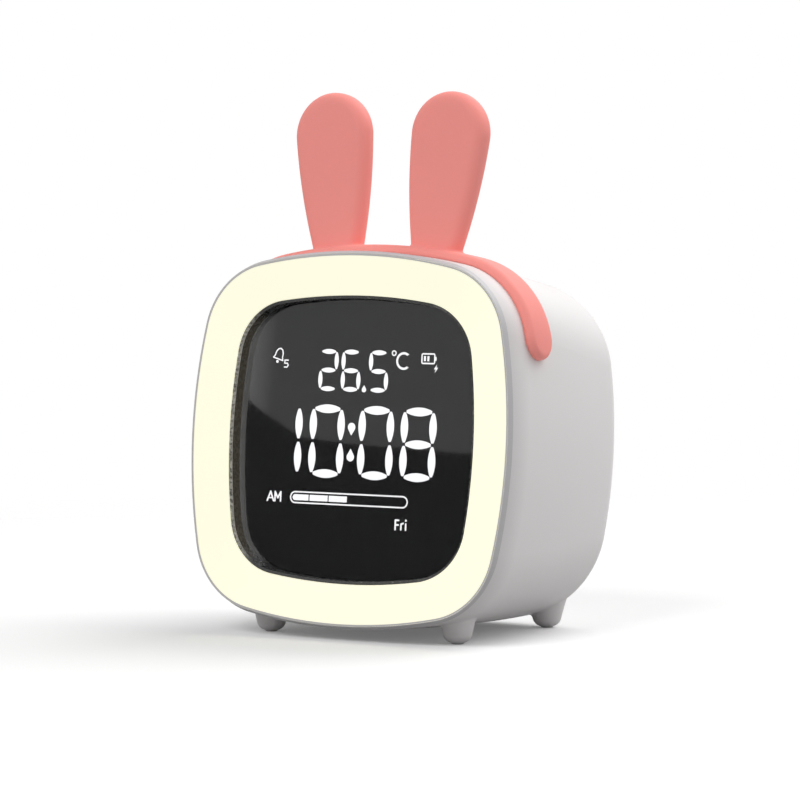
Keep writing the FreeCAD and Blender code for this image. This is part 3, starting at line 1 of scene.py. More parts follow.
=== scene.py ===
import bmesh
import bpy
import json
import math
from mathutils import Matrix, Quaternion, Vector

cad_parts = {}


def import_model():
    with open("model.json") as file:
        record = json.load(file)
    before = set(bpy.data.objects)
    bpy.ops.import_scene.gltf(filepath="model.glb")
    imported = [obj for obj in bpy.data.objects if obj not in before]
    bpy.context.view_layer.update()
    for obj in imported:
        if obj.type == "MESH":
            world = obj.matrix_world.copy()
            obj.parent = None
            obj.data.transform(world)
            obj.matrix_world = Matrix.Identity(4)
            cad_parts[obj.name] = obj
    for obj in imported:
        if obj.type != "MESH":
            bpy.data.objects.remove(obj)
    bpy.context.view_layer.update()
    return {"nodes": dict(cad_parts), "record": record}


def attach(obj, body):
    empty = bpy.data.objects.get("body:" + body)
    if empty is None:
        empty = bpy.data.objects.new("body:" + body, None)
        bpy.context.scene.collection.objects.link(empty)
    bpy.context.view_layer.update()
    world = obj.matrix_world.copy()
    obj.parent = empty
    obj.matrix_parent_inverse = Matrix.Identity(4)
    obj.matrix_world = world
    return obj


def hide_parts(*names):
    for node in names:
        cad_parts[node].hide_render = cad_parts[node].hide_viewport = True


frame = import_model()
nodes = frame["nodes"]

# The case's own axes, in millimetres: x to the right, depth back from the face, height up the face
MM = 0.001
FACE_PLANE_Y = -30.039
FACE_MIDDLE_Z = 47.6
LEAN = math.radians(4.83)

CASE_DEPTH = 61.2
CASE_HALF = 44.74
CASE_TAPER = 3.45
CASE_BULGE = 0.95
CASE_SIDE_R = 131.74
CASE_CORNER_R = 20.6
CASE_CORNER_GAIN = 3.74
LIP_DEPTH = 1.2

# Zones of the face by depth: the grey lip, the ring's outer land, the line at the end of the bevel
LIP_SOFT = 0.03
RING_LAND = (0.008, 0.03)
BEVEL_END = 1.82
LINE_HALF = 0.06
LINE_SOFT = 0.04
# Across the face, in metres: where the left side with painted highlights and painted reflected light begins
# and ends
PAINTED_LIGHT_SIDE = (-0.031, -0.026)

# Soft band and ears
BAND_FRONT = 9.0
BAND_WIDTH = 10.3
BAND_THICKNESS = 2.3
BAND_END = 20.3
BAND_ROUND_R = 1.35
BAND_CROWN = 0.25
BAND_LIFT = 0.04
BAND_RINGS = (0.01, 0.05, 0.12, 0.22, 0.36, 0.52, 0.72, 0.95, 1.15, 1.35, 1.9, 2.6, 3.4, 4.2)
EAR_THICKNESS = 6.0
EAR_CENTRE_Y = 14.6
EAR_BASE_X = 13.85
EAR_BASE_Z = 46.5
EAR_BASE_HALF = 6.6
EAR_TIP_R = 10.3
EAR_SIDE_R = 140.0
EAR_REACH = 27.0
EAR_SPLAY = math.radians(5.3)
EAR_EDGE_R = 2.6
EAR_CROWN = 0.08
EAR_ROOT = 1.2
EAR_FLARE = 0.85
EAR_FLARE_SINK = 0.06
EAR_EDGE_STEPS = 10
EAR_FACE_SHARES = (0.9, 0.75, 0.6, 0.45, 0.3, 0.15, 0.04)

# Screws, pads and lamps, drawn where the frame has them
SCREW_HEAD_R = 1.8
SCREW_HEAD_HEIGHT = 1.2
SCREW_SHANK_R = 0.8
SCREW_LENGTH = 5.0
SCREW_PITCH = 0.55
HEAD_DOME_POWER = 3.0
HEAD_TOP_SHARE = 0.7
THREAD_CORE = 0.86
THREAD_RIDGE = 0.13
THREAD_WOUND = 0.9
THREAD_RUN_OUT = 0.03
CROSS_LENGTH = 2.2
CROSS_WIDTH = 0.42
CROSS_DEPTH = 0.5
PAD_R = 1.5
PAD_THICKNESS = 0.8
PAD_EDGE_POWER = 6.0
PAD_EDGE_DRAW = 0.14
LAMP_LENGTH = 3.0
LAMP_WIDTH = 2.2
LAMP_HEIGHT = 0.8
LAMP_BODY_SHARE = 0.7
LENS_SHARE = 0.4
ROUND_SIDES = 40
CREASE_ANGLE = 0.6

# The window's rear face stands this far off the rim behind it
WINDOW_REAR = 5.77
WINDOW_RELIEF = 0.06

# Relief of the finishes, in metres, and their fixed tones
MOULD_RELIEF = 0.00004
STREAK_RELIEF = 0.00002
TRACK_RELIEF = 0.00003
STREAK_STRETCH = 0.08
LIT_DIMMEST = 0.985
# Glow of the left wall that only mirror rays see: a painted reflection
WALL_PAINTED_REFLECTION = (1.3, 1.3, 1.27, 1)
# Painted light: a faint glow that brightens the pink silicone, which gives no light
EAR_PAINTED_GLOW = (0.11, 0.048, 0.042, 1)

# Floor, and the card and panel that the window mirrors, in metres
FLOOR_RADIUS = 0.42
FLOOR_FADE = 0.12
FLOOR_TONE = 0.9
FLOOR_TO_OBJECT = 0.42
FLOOR_FILL = 0.13
WORLD_SOFT = 0.3
CARD_TURN = math.radians(238.15)
CARD_AHEAD = Vector((math.cos(CARD_TURN), math.sin(CARD_TURN), 0.0))
CARD_ACROSS = Vector((CARD_AHEAD.y, -CARD_AHEAD.x, 0.0))
CARD_DISTANCE = 1.2
CARD_EDGE = ((0.2, 0.28), (0.0585, 0.1583), (0.0499, 0.1516), (0.0277, 0.1393), (0.0013, 0.138),
             (-0.5, 0.1405))
CARD_FOOT = -0.3
CARD_TONE = 0.004
PANEL_DISTANCE = 1.25
PANEL_HALF = 0.6
PANEL_SIDE = (0.0455, 0.058)
PANEL_LIGHT = (0.85, 2.1)

# Lamps: name, place, target, size and power
STUDIO_LAMPS = (
    ("lamp_top", (0.35, 0.6, 0.95), (0.0, 0.0, 0.05), 1.0, 10.0),
    ("lamp_front", (-0.1, -1.05, 0.95), (0.0, 0.0, 0.06), 0.7, 8.4),
    ("lamp_right", (1.1, 0.35, 0.55), (0.0, 0.0, 0.06), 0.6, 1.6),
)

# Camera
CAMERA_TARGET = (14.95, 0.0, 57.37)
CAMERA_TURN = math.radians(31.761)
CAMERA_RISE = math.radians(3.085)
CAMERA_DISTANCE = 960.0
CAMERA_LENS = 184.635
CAMERA_SENSOR = 36.0
CAMERA_CLIP = (0.05, 20.0)

# Distances, in metres, within which the points of a mesh are welded
WELD = 1e-6
FINE_WELD = 1e-7

# What the group of a skin gives
SKIN_OUTPUTS = (("Colour", "NodeSocketColor"), ("Roughness", "NodeSocketFloat"),
                ("Normal", "NodeSocketVector"))


def row_point(x, depth, height):
    """A point given in the case's leaning axes, as a place in the row's frame in metres."""
    y = FACE_PLANE_Y + height * math.sin(LEAN) + depth * math.cos(LEAN)
    z = FACE_MIDDLE_Z - depth * math.sin(LEAN) + height * math.cos(LEAN)
    return Vector((x * MM, y * MM, z * MM))


def row_direction(x, depth, height):
    """A direction given in the case's leaning axes, in the row's frame."""
    return row_point(x, depth, height) - row_point(0, 0, 0)


def case_point(place):
    """A place in the row's frame as x, depth and height in the case's leaning axes, in millimetres."""
    x, y, z = place / MM
    y -= FACE_PLANE_Y
    z -= FACE_MIDDLE_Z
    return Vector((x, y * math.cos(LEAN) - z * math.sin(LEAN), y * math.sin(LEAN) + z * math.cos(LEAN)))


def case_arcs(depth):
    """Half width, corner radius and corner centre of the case's outline at a depth."""
    share = depth / CASE_DEPTH
    half = CASE_HALF - CASE_TAPER * share + 4 * CASE_BULGE * share * (1 - share)
    corner_r = CASE_CORNER_R + CASE_CORNER_GAIN * share
    reach = half - CASE_SIDE_R
    centre = (reach + math.sqrt(2 * (CASE_SIDE_R - corner_r) ** 2 - reach ** 2)) / 2
    return half, corner_r, centre


def case_skin(turn, depth, lift):
    """A point of the case's outline whose outward direction is turned from +X, lifted off the skin."""
    half, corner_r, centre = case_arcs(depth)
    mirrored = turn > math.pi / 2
    angle = math.pi - turn if mirrored else turn
    meet = math.atan2(centre, centre - (half - CASE_SIDE_R))
    if angle < meet:
        x, z, radius = half - CASE_SIDE_R, 0.0, CASE_SIDE_R
    elif angle > math.pi / 2 - meet:
        x, z, radius = 0.0, half - CASE_SIDE_R, CASE_SIDE_R
    else:
        x, z, radius = centre, centre, corner_r
    x += (radius + lift) * math.cos(angle)
    z += (radius + lift) * math.sin(angle)
    return (-x if mirrored else x), z


def new_object(name, data):
    """An object at the origin of the scene."""
    piece = bpy.data.objects.new(name, data)
    bpy.context.scene.collection.objects.link(piece)
    return piece


def finished_mesh(name, mesh, smooth=True):
    """An object from a bmesh, at the origin, with its faces outwards."""
    bmesh.ops.remove_doubles(mesh, verts=mesh.verts, dist=WELD)
    bmesh.ops.recalc_face_normals(mesh, faces=mesh.faces)
    data = bpy.data.meshes.new(name)
    mesh.to_mesh(data)
    mesh.free()
    for face in data.polygons:
        face.use_smooth = smooth
    return new_object(name, data)


# Shared effects

def new_group(name, inputs, outputs):
    """A shader node group with its named sockets and its two end nodes."""
    group = bpy.data.node_groups.new(name, "ShaderNodeTree")
    for label, kind, value in inputs:
        socket = group.interface.new_socket(name=label, in_out="INPUT", socket_type=kind)
        socket.default_value = value
    for label, kind in outputs:
        group.interface.new_socket(name=label, in_out="OUTPUT", socket_type=kind)
    start = group.nodes.new("NodeGroupInput")
    end = group.nodes.new("NodeGroupOutput")
    return group, start, end


def feed(tree, socket, value):
    """Links an input to another node's socket, or gives it a value."""
    if isinstance(value, bpy.types.NodeSocket):
        tree.links.new(value, socket)
    else:
        socket.default_value = value


def fed(tree, node, *values):
    """Feeds a node's inputs in their order, and gives back its first output."""
    for socket, value in zip(node.inputs, values):
        feed(tree, socket, value)
    return node.outputs[0]


def wire(tree, node, **values):
    """Feeds a node's inputs by their names."""
    for key, value in values.items():
        feed(tree, node.inputs[key.replace("_", " ").title().replace("Ior", "IOR")], value)
    return node


def add(tree, kind, **values):
    """A new node with its settings and, by its inputs' names, what feeds it."""
    node = tree.nodes.new(kind)
    for key, value in values.items():
        label = key.replace("_", " ").title()
        if label in node.inputs:
            feed(tree, node.inputs[label], value)
        else:
            setattr(node, key, value)
    return node


def calc(tree, operation, *values):
    """A Math node on sockets or numbers."""
    return fed(tree, add(tree, "ShaderNodeMath", operation=operation), *values)


def ramp(tree, value, low, high, first=0.0, last=1.0):
    """A value carried from one range to another, and held at its ends."""
    return fed(tree, add(tree, "ShaderNodeMapRange"), value, low, high, first, last)


def mix_colours(tree, factor, first, second, blend="MIX"):
    """A Mix node for colours; each argument is a socket or a value."""
    node = add(tree, "ShaderNodeMix", data_type="RGBA", blend_type=blend)
    for index, value in ((0, factor), (6, first), (7, second)):
        feed(tree, node.inputs[index], value)
    return node.outputs[2]


def object_place(tree):
    """The shaded point in the object's own coordinates."""
    return add(tree, "ShaderNodeTexCoord").outputs["Object"]


def noise(tree, scale, detail, place=None):
    """A noise mask, over the object's own coordinates unless others are given."""
    place = place or object_place(tree)
    return add(tree, "ShaderNodeTexNoise", scale=scale, detail=detail, vector=place).outputs["Fac"]


def relief(tree, height, strength, distance):
    """The shading normal of a surface whose relief follows a mask."""
    return add(tree, "ShaderNodeBump", height=height, strength=strength, distance=distance).outputs["Normal"]


def moulded_skin():
    """Moulded surface: slow drift of colour, fine spark-eroded grain and slightly uneven gloss."""
    group, start, end = new_group("moulded_skin", (
        ("Colour", "NodeSocketColor", (0.8, 0.8, 0.8, 1)),
        ("Drift Colour", "NodeSocketColor", (0.7, 0.7, 0.7, 1)),
        ("Drift Scale", "NodeSocketFloat", 30.0),
        ("Grain Scale", "NodeSocketFloat", 2500.0),
        ("Grain Strength", "NodeSocketFloat", 0.1),
        ("Low Roughness", "NodeSocketFloat", 0.4),
        ("High Roughness", "NodeSocketFloat", 0.5),
    ), SKIN_OUTPUTS)
    given = start.outputs
    drift = noise(group, given["Drift Scale"], 3.0)
    grain = noise(group, given["Grain Scale"], 2.0)
    wire(group, end, colour=mix_colours(group, drift, given["Colour"], given["Drift Colour"]),
         roughness=ramp(group, grain, 0.0, 1.0, given["Low Roughness"], given["High Roughness"]),
         normal=relief(group, grain, given["Grain Strength"], MOULD_RELIEF))
    return group


def machined_skin():
    """Worked metal: fine streaks along one axis that change tone, gloss and relief."""
    group, start, end = new_group("machined_skin", (
        ("Colour", "NodeSocketColor", (0.6, 0.6, 0.6, 1)),
        ("Streak Colour", "NodeSocketColor", (0.5, 0.5, 0.5, 1)),
        ("Streak Scale", "NodeSocketFloat", 900.0),
        ("Low Roughness", "NodeSocketFloat", 0.25),
        ("High Roughness", "NodeSocketFloat", 0.45),
    ), SKIN_OUTPUTS)
    given = start.outputs
    stretch = add(group, "ShaderNodeMapping", scale=(1.0, 1.0, STREAK_STRETCH), vector=object_place(group))
    streaks = noise(group, given["Streak Scale"], 4.0, stretch.outputs["Vector"])
    wire(group, end, colour=mix_colours(group, streaks, given["Colour"], given["Streak Colour"]),
         roughness=ramp(group, streaks, 0.0, 1.0, given["Low Roughness"], given["High Roughness"]),
         normal=relief(group, streaks, 0.15, STREAK_RELIEF))
    return group


def settled_dust():
    """A faint veil on surfaces that face up, broken up by noise."""
    group, start, end = new_group("settled_dust", (
        ("Colour", "NodeSocketColor", (0.8, 0.8, 0.8, 1)),
        ("Dust Colour", "NodeSocketColor", (0.75, 0.74, 0.72, 1)),
        ("Amount", "NodeSocketFloat", 0.1),
    ), (("Colour", "NodeSocketColor"), ("Mask", "NodeSocketFloat")))
    facing = add(group, "ShaderNodeNewGeometry").outputs["Normal"]
    upward = ramp(group, add(group, "ShaderNodeSeparateXYZ", vector=facing).outputs["Z"], 0.0, 1.0)
    spots = calc(group, "MULTIPLY", upward, noise(group, 400.0, 3.0))
    share = calc(group, "MULTIPLY", spots, start.outputs["Amount"])
    wire(group, end, mask=share,
         colour=mix_colours(group, share, start.outputs["Colour"], start.outputs["Dust Colour"]))
    return group


def case_depth():
    """How far a point lies behind the plane of the face, in millimetres."""
    group, start, end = new_group("case_depth", (), (("Depth", "NodeSocketFloat"),))
    along = add(group, "ShaderNodeVectorMath", operation="DOT_PRODUCT")
    fed(group, along, object_place(group), (0.0, math.cos(LEAN) / MM, -math.sin(LEAN) / MM))
    shift = FACE_PLANE_Y * math.cos(LEAN) - FACE_MIDDLE_Z * math.sin(LEAN)
    wire(group, end, depth=calc(group, "SUBTRACT", along.outputs["Value"], shift))
    return group


MOULDED = moulded_skin()
MACHINED = machined_skin()
DUST = settled_dust()
DEPTH = case_depth()


def new_material(name, **constants):
    """A material with its shader; constants are set on the shader's own sockets."""
    made = bpy.data.materials.new(name)
    made.use_nodes = True
    tree, shader = shader_of(made)
    wire(tree, shader, **constants)
    return made, tree, shader


def shader_of(made):
    """A material's tree and its shader."""
    return made.node_tree, made.node_tree.nodes["Principled BSDF"]


def place_group(tree, group, **values):
    """One of the shared effects in a material's tree."""
    return wire(tree, add(tree, "ShaderNodeGroup", node_tree=group), **values)


def rgb(red, green, blue):
    """A colour given as it shows on a screen, 0 to 255, in linear light."""
    out = []
    for value in (red, green, blue):
        share = value / 255
        out.append(share / 12.92 if share <= 0.04045 else ((share + 0.055) / 1.055) ** 2.4)
    return (*out, 1.0)


def grey(share):
    """A grey in linear light."""
    return share, share, share, 1.0


LIP_GREY = rgb(196, 194, 196)
# Grey that the case's sides are multiplied by at the front edge: painted shade
SHADED_TINT = grey(0.8)


def moulded(name, colour, drift, roughness=(0.4, 0.5), grain=0.1, grain_scale=2500.0, drift_scale=30.0,
            dust=0.0, **constants):
    """Moulded plastic or rubber from the shared groups."""
    made, tree, shader = new_material(name, **constants)
    skin = place_group(tree, MOULDED, colour=colour, drift_colour=drift, drift_scale=drift_scale,
                       grain_scale=grain_scale, grain_strength=grain, low_roughness=roughness[0],
                       high_roughness=roughness[1]).outputs
    surface = skin["Colour"]
    if dust:
        surface = place_group(tree, DUST, amount=dust, colour=surface).outputs["Colour"]
    wire(tree, shader, base_color=surface, roughness=skin["Roughness"], normal=skin["Normal"])
    return made


def machined(name, colour, streak, roughness=(0.25, 0.45), streak_scale=900.0, **constants):
    """Bare or plated metal from the shared group."""
    made, tree, shader = new_material(name, metallic=1.0, **constants)
    skin = place_group(tree, MACHINED, colour=colour, streak_colour=streak, streak_scale=streak_scale,
                       low_roughness=roughness[0], high_roughness=roughness[1]).outputs
    wire(tree, shader, base_color=skin["Colour"], roughness=skin["Roughness"], normal=skin["Normal"])
    return made


def case_finish(name):
    """The case's white plastic, with a greyer line round the lit ring, and painted shade on its sides,
    darkest at the front edge and gone at the band's front.
    """
    made = moulded(name, rgb(236, 233, 233), rgb(232, 229, 229), roughness=(0.46, 0.56), grain=0.12,
                   dust=0.05)
    tree, shader = shader_of(made)
    plain = shader.inputs["Base Color"].links[0].from_socket
    depth = place_group(tree, DEPTH).outputs["Depth"]
    behind = ramp(tree, depth, LIP_DEPTH - LIP_SOFT, LIP_DEPTH + LIP_SOFT)
    # painted shade: the sides darken from the band's front towards the front edge
    painted_front_shade = ramp(tree, depth, LIP_DEPTH, BAND_FRONT, 1.0, 0.0)
    shaded = mix_colours(tree, painted_front_shade, plain, SHADED_TINT, "MULTIPLY")
    wire(tree, shader, base_color=mix_colours(tree, behind, LIP_GREY, shaded))
    return made


def ring_finish(name):
    """The lit diffuser, dark along the flat land at its outer edge."""
    made = lit(name, rgb(205, 204, 182), rgb(255, 252, 226), rgb(200, 199, 178), 0.6)
    tree, shader = shader_of(made)
    inside = ramp(tree, place_group(tree, DEPTH).outputs["Depth"], *RING_LAND)
    for label, plain in (("Base Color", LIP_GREY), ("Emission Color", grey(0))):
        bright = shader.inputs[label].links[0].from_socket
        tree.links.new(mix_colours(tree, inside, plain, bright), shader.inputs[label])
    return made


def bezel_finish(name):
    """Black frame of the recess: a glossy bevel with painted sparkle highlights and, on its left side,
    painted mottled highlights and a pale painted highlight line; down the left wall a brown painted reflected
    light, which glows for mirror rays as a painted reflection.
    """
    made, tree, shader = new_material(name, coat_weight=0.3, coat_roughness=0.05, emission_strength=1.0)
    depth = place_group(tree, DEPTH).outputs["Depth"]
    mottle = noise(tree, 1300.0, 3.0)
    painted_sparkles = noise(tree, 700.0, 2.0)
    across = add(tree, "ShaderNodeSeparateXYZ", vector=object_place(tree)).outputs["X"]
    # mask of the left side, which gets painted highlights and painted reflected light
    left = ramp(tree, across, *PAINTED_LIGHT_SIDE, 1.0, 0.0)
    # painted highlights: pale sparkle dots on the black bevel
    black = mix_colours(tree, ramp(tree, painted_sparkles, 0.64, 0.7), rgb(14, 14, 13), rgb(120, 118, 110))
    # painted highlights: pale mottled glints on the left bevel
    painted_glints = mix_colours(tree, ramp(tree, mottle, 0.35, 0.65), rgb(84, 81, 70), rgb(186, 183, 172))
    bevel = mix_colours(tree, left, black, painted_glints)
    # at the bevel's end: a dark line on the right, a pale painted highlight line on the left
    line = mix_colours(tree, left, rgb(20, 20, 19), rgb(188, 184, 174))
    # painted reflected light: a mottled brown tone down the left wall, near black elsewhere
    shade = mix_colours(tree, mottle, rgb(118, 111, 98), rgb(100, 95, 84))
    wall = mix_colours(tree, left, rgb(16, 16, 16), shade)
    colour = bevel
    for start, zone in ((BEVEL_END - LINE_HALF, line), (BEVEL_END + LINE_HALF, wall)):
        colour = mix_colours(tree, ramp(tree, depth, start, start + LINE_SOFT), colour, zone)
    # painted reflection: the left wall glows for mirror rays, so the window shows it pale
    mirrored = calc(tree, "MULTIPLY", add(tree, "ShaderNodeLightPath").outputs["Is Glossy Ray"], left)
    wire(tree, shader, base_color=colour, emission_color=mix_colours(tree, mirrored, grey(0), WALL_PAINTED_REFLECTION),
         roughness=ramp(tree, mottle, 0.3, 0.7, 0.18, 0.36), normal=relief(tree, mottle, 0.2, MOULD_RELIEF))
    return made


def lit(name, colour, shine, drift, strength):
    """A moulded diffuser that gives its own light, a little uneven over its length."""
    made = moulded(name, colour, drift, roughness=(0.32, 0.4), grain=0.05, emission_strength=strength)
    tree, shader = shader_of(made)
    dimmer = tuple(LIT_DIMMEST * value for value in shine[:3]) + (1.0,)
    wire(tree, shader, emission_color=mix_colours(tree, noise(tree, 45.0, 1.0), shine, dimmer))
    return made


def board_skin(name):
    """Circuit board: dark lacquer over copper tracks, with bare pads."""
    made, tree, shader = new_material(name, coat_weight=0.4, coat_roughness=0.12)
    place = object_place(tree)
    tracks = add(tree, "ShaderNodeTexBrick", scale=260.0, mortar_size=0.06, vector=place).outputs["Fac"]
    lacquer = mix_colours(tree, tracks, rgb(18, 78, 48), rgb(34, 112, 66))
    pads_off = add(tree, "ShaderNodeTexVoronoi", scale=420.0, vector=place).outputs["Distance"]
    bare = calc(tree, "LESS_THAN", pads_off, 0.16)
    wire(tree, shader, base_color=mix_colours(tree, bare, lacquer, rgb(190, 186, 170)), metallic=bare,
         roughness=ramp(tree, bare, 0.0, 1.0, 0.42, 0.28), normal=relief(tree, tracks, 0.3, TRACK_RELIEF))
    return made


def smoked_window(name):
    """Clear plastic with a smoke tint, hard and glossy, with the faintest waviness."""
    made, tree, shader = new_material(name, transmission_weight=1.0, ior=1.49, metallic=0.0)
    wave = noise(tree, 60.0, 1.0)
    wire(tree, shader, roughness=ramp(tree, wave, 0.0, 1.0, 0.012, 0.03),
         base_color=mix_colours(tree, wave, (0.30, 0.30, 0.305, 1), (0.285, 0.285, 0.29, 1)))
    return made


# Finishes by slot: colour and drift, or colour and streak, as they show on a screen, and the rest by name
MOULDED_LOOKS = {
    "display_black": ((12, 12, 13), (9, 9, 10), {"roughness": (0.5, 0.6), "grain": 0.05}),
    "tray_white": ((240, 240, 238), (232, 232, 230), {}),
    "lamp_yellow": ((240, 214, 110), (232, 200, 88), {"roughness": (0.15, 0.25), "coat_weight": 0.6,
                                                      "coat_roughness": 0.05}),
    # the pink silicone glows faintly: painted light
    "ear_pink": ((243, 147, 140), (240, 143, 136), {
        "roughness": (0.6, 0.72), "grain": 0.08, "grain_scale": 3200.0, "subsurface_weight": 0.12,
        "subsurface_scale": 0.0015, "specular_ior_level": 0.2, "emission_color": EAR_PAINTED_GLOW,
        "emission_strength": 1.0, "dust": 0.03}),
    "pad_clear": ((196, 196, 194), (186, 186, 184), {"roughness": (0.35, 0.5), "subsurface_weight": 0.3,
                                                     "subsurface_scale": 0.001}),
    "button_grey": ((214, 211, 211), (208, 205, 205), {"roughness": (0.42, 0.52)}),
    "chip_black": ((30, 30, 32), (40, 40, 42), {"roughness": (0.55, 0.7), "grain": 0.3}),
    "switch_black": ((34, 34, 36), (28, 28, 30), {}),
    "speaker_frame": ((30, 30, 30), (38, 38, 38), {"roughness": (0.35, 0.5), "metallic": 0.6}),
    "cone_paper": ((44, 42, 40), (62, 59, 55), {"roughness": (0.75, 0.9), "grain": 0.5,
                                                "grain_scale": 1500.0}),
    "lead_insulation": ((170, 30, 26), (150, 24, 22), {"roughness": (0.3, 0.4)}),
    "cell_wrap": ((52, 112, 176), (44, 98, 160), {"roughness": (0.22, 0.34), "grain": 0.05}),
    "cradle_plastic": ((88, 88, 90), (80, 80, 82), {}),
    "plug_white": ((238, 236, 226), (228, 226, 214), {}),
    "ribbon_white": ((234, 234, 236), (222, 222, 226), {"roughness": (0.25, 0.35)}),
    "probe_bead": ((26, 28, 40), (20, 22, 32), {"roughness": (0.15, 0.25)}),
}
MACHINED_LOOKS = {
    "screw_steel": ((178, 178, 182), (148, 148, 152), {}),
    "socket_metal": ((190, 190, 194), (165, 165, 170), {"streak_scale": 1500.0}),
    "magnet_steel": ((205, 205, 208), (180, 180, 184), {"roughness": (0.12, 0.25)}),
    "sensor_tin": ((196, 195, 190), (170, 169, 164), {}),
}
FINISHES = {
    "case_white": case_finish("case_white"),
    "ring_milky": ring_finish("ring_milky"),
    "bezel_black": bezel_finish("bezel_black"),
    "window_smoke": smoked_window("window_smoke"),
    "mark_white": lit("mark_white", rgb(235, 235, 235), rgb(255, 255, 255), rgb(230, 230, 230), 3.6),
    "board_green": board_skin("board_green"),
}
for make, looks in ((moulded, MOULDED_LOOKS), (machined, MACHINED_LOOKS)):
    for slot, (first, second, rest) in looks.items():
        FINISHES[slot] = make(slot, rgb(*first), rgb(*second), **rest)


def clad(piece, slot):
    """The finish of a slot, and no other, on a piece."""
    piece.data.materials.clear()
    piece.data.materials.append(FINISHES[slot])


def dress_nodes():
    """Each carried-over node gets the finish of its slot."""
    for entry in frame["record"]["subparts"]:
        clad(nodes[entry["node"]], entry["material_slot"])


# Soft band with its ears

def band_ring(inward, lift):
    """Closed run of points around the band: its outline, drawn in by a distance and lifted off the case."""
    radius = BAND_WIDTH / 2
    middle = BAND_FRONT + radius
    low = BAND_END + radius
    end_turn = math.asin(low / CASE_SIDE_R)
    reach = radius - inward
    corner_steps, top_steps, cap_steps = 36, 28, 28
    half, _, centre = case_arcs(middle)
    top = math.pi / 2 - math.atan2(centre, centre - (half - CASE_SIDE_R))
    turns = [end_turn + (top - end_turn) * step / corner_steps for step in range(corner_steps)]
    turns += [top + (math.pi / 2 - top) * step / top_steps for step in range(top_steps)]
    turns += [math.pi - turn for turn in reversed(turns)]
    turns.insert(len(turns) // 2, math.pi / 2)
    angles = [math.pi * step / cap_steps for step in range(1, cap_steps)]
    caps = [(math.asin((low - reach * math.sin(angle)) / CASE_SIDE_R), reach * math.cos(angle))
            for angle in angles]
    places = [(turn, middle - reach) for turn in turns]
    places += [(math.pi - turn, middle - shift) for turn, shift in caps]
    places += [(turn, middle + reach) for turn in reversed(turns)]
    places += [(turn, middle + shift) for turn, shift in caps]
    points = []
    for turn, depth in places:
        x, z = case_skin(turn, depth, lift)
        points.append(row_point(x, depth, z))
    return points


def add_rings(mesh, rings):
    """Quads between successive closed rings of equal length; the last one is returned."""
    before = None
    for points in rings:
        ring = [mesh.verts.new(point) for point in points]
        if before:
            for index in range(len(ring)):
                after = (index + 1) % len(ring)
                mesh.faces.new((before[index], before[after], ring[after], ring[index]))
        before = ring
    return before


def band_mesh():
    """The band's crowned upper side and its flat underside on the case."""
    mesh = bmesh.new()
    rings = [band_ring(BAND_WIDTH / 2, BAND_LIFT), band_ring(0, BAND_LIFT)]
    for inward in BAND_RINGS + (BAND_WIDTH / 2,):
        drop = BAND_ROUND_R - min(inward, BAND_ROUND_R)
        crown = BAND_CROWN * (1 - (1 - 2 * inward / BAND_WIDTH) ** 2)
        lift = BAND_THICKNESS - BAND_CROWN - BAND_ROUND_R + math.sqrt(BAND_ROUND_R ** 2 - drop ** 2) + crown
        rings.append(band_ring(inward, lift))
    add_rings(mesh, rings)
    bmesh.ops.remove_doubles(mesh, verts=mesh.verts, dist=WELD)
    bmesh.ops.dissolve_degenerate(mesh, edges=mesh.edges, dist=FINE_WELD)
    return mesh


def ear_outline():
    """Right half of the ear from its root to its tip, as (x, height, outward x, outward height)."""
    span = math.hypot(EAR_BASE_HALF, EAR_REACH)
    offset = EAR_SIDE_R - EAR_TIP_R
    across = (EAR_SIDE_R ** 2 - offset ** 2 - span ** 2) / (2 * offset)
    draw_in = math.asin(across / span) - math.atan2(EAR_BASE_HALF, EAR_REACH)
    centre = (-offset * math.cos(draw_in), EAR_REACH + offset * math.sin(draw_in))
    top = centre[1] - EAR_SIDE_R * math.sin(draw_in)
    root_steps, flank_steps, tip_steps = 24, 24, 28
    heights = [-EAR_ROOT + 2 * EAR_ROOT * step / root_steps for step in range(root_steps)]
    heights += [EAR_ROOT + (top - EAR_ROOT) * step / flank_steps for step in range(flank_steps)]
    points = []
    for height in heights:
        turn = math.asin((height - centre[1]) / EAR_SIDE_R)
        points.append((centre[0] + EAR_SIDE_R * math.cos(turn), height, math.cos(turn), math.sin(turn)))
    for step in range(tip_steps + 1):
        turn = -draw_in + (math.pi / 2 + draw_in) * step / tip_steps
        points.append((EAR_TIP_R * math.cos(turn), EAR_REACH + EAR_TIP_R * math.sin(turn),
                       math.cos(turn), math.sin(turn)))
    return points


def ear_to_case(x, z, side):
    """Across and height in the case's axes of a point given across and up the ear."""
    turned_x = x * math.cos(EAR_SPLAY) + z * math.sin(EAR_SPLAY)
    turned_z = z * math.cos(EAR_SPLAY) - x * math.sin(EAR_SPLAY)
    return side * (EAR_BASE_X + turned_x), EAR_BASE_Z + turned_z


def band_top(x):
    """Height of the band's upper side under an ear."""
    return case_arcs(EAR_CENTRE_Y)[0] - CASE_SIDE_R + math.sqrt((CASE_SIDE_R + BAND_THICKNESS) ** 2 - x ** 2)


def flare(x, z):
    """How far the ear's skin stands out where it runs into the band."""
    across, height = ear_to_case(x, z, 1)
    rise = height - band_top(across) + EAR_FLARE_SINK
    short = min(max(EAR_FLARE - rise, 0.0), EAR_FLARE)
    return EAR_FLARE - math.sqrt(EAR_FLARE ** 2 - short ** 2)


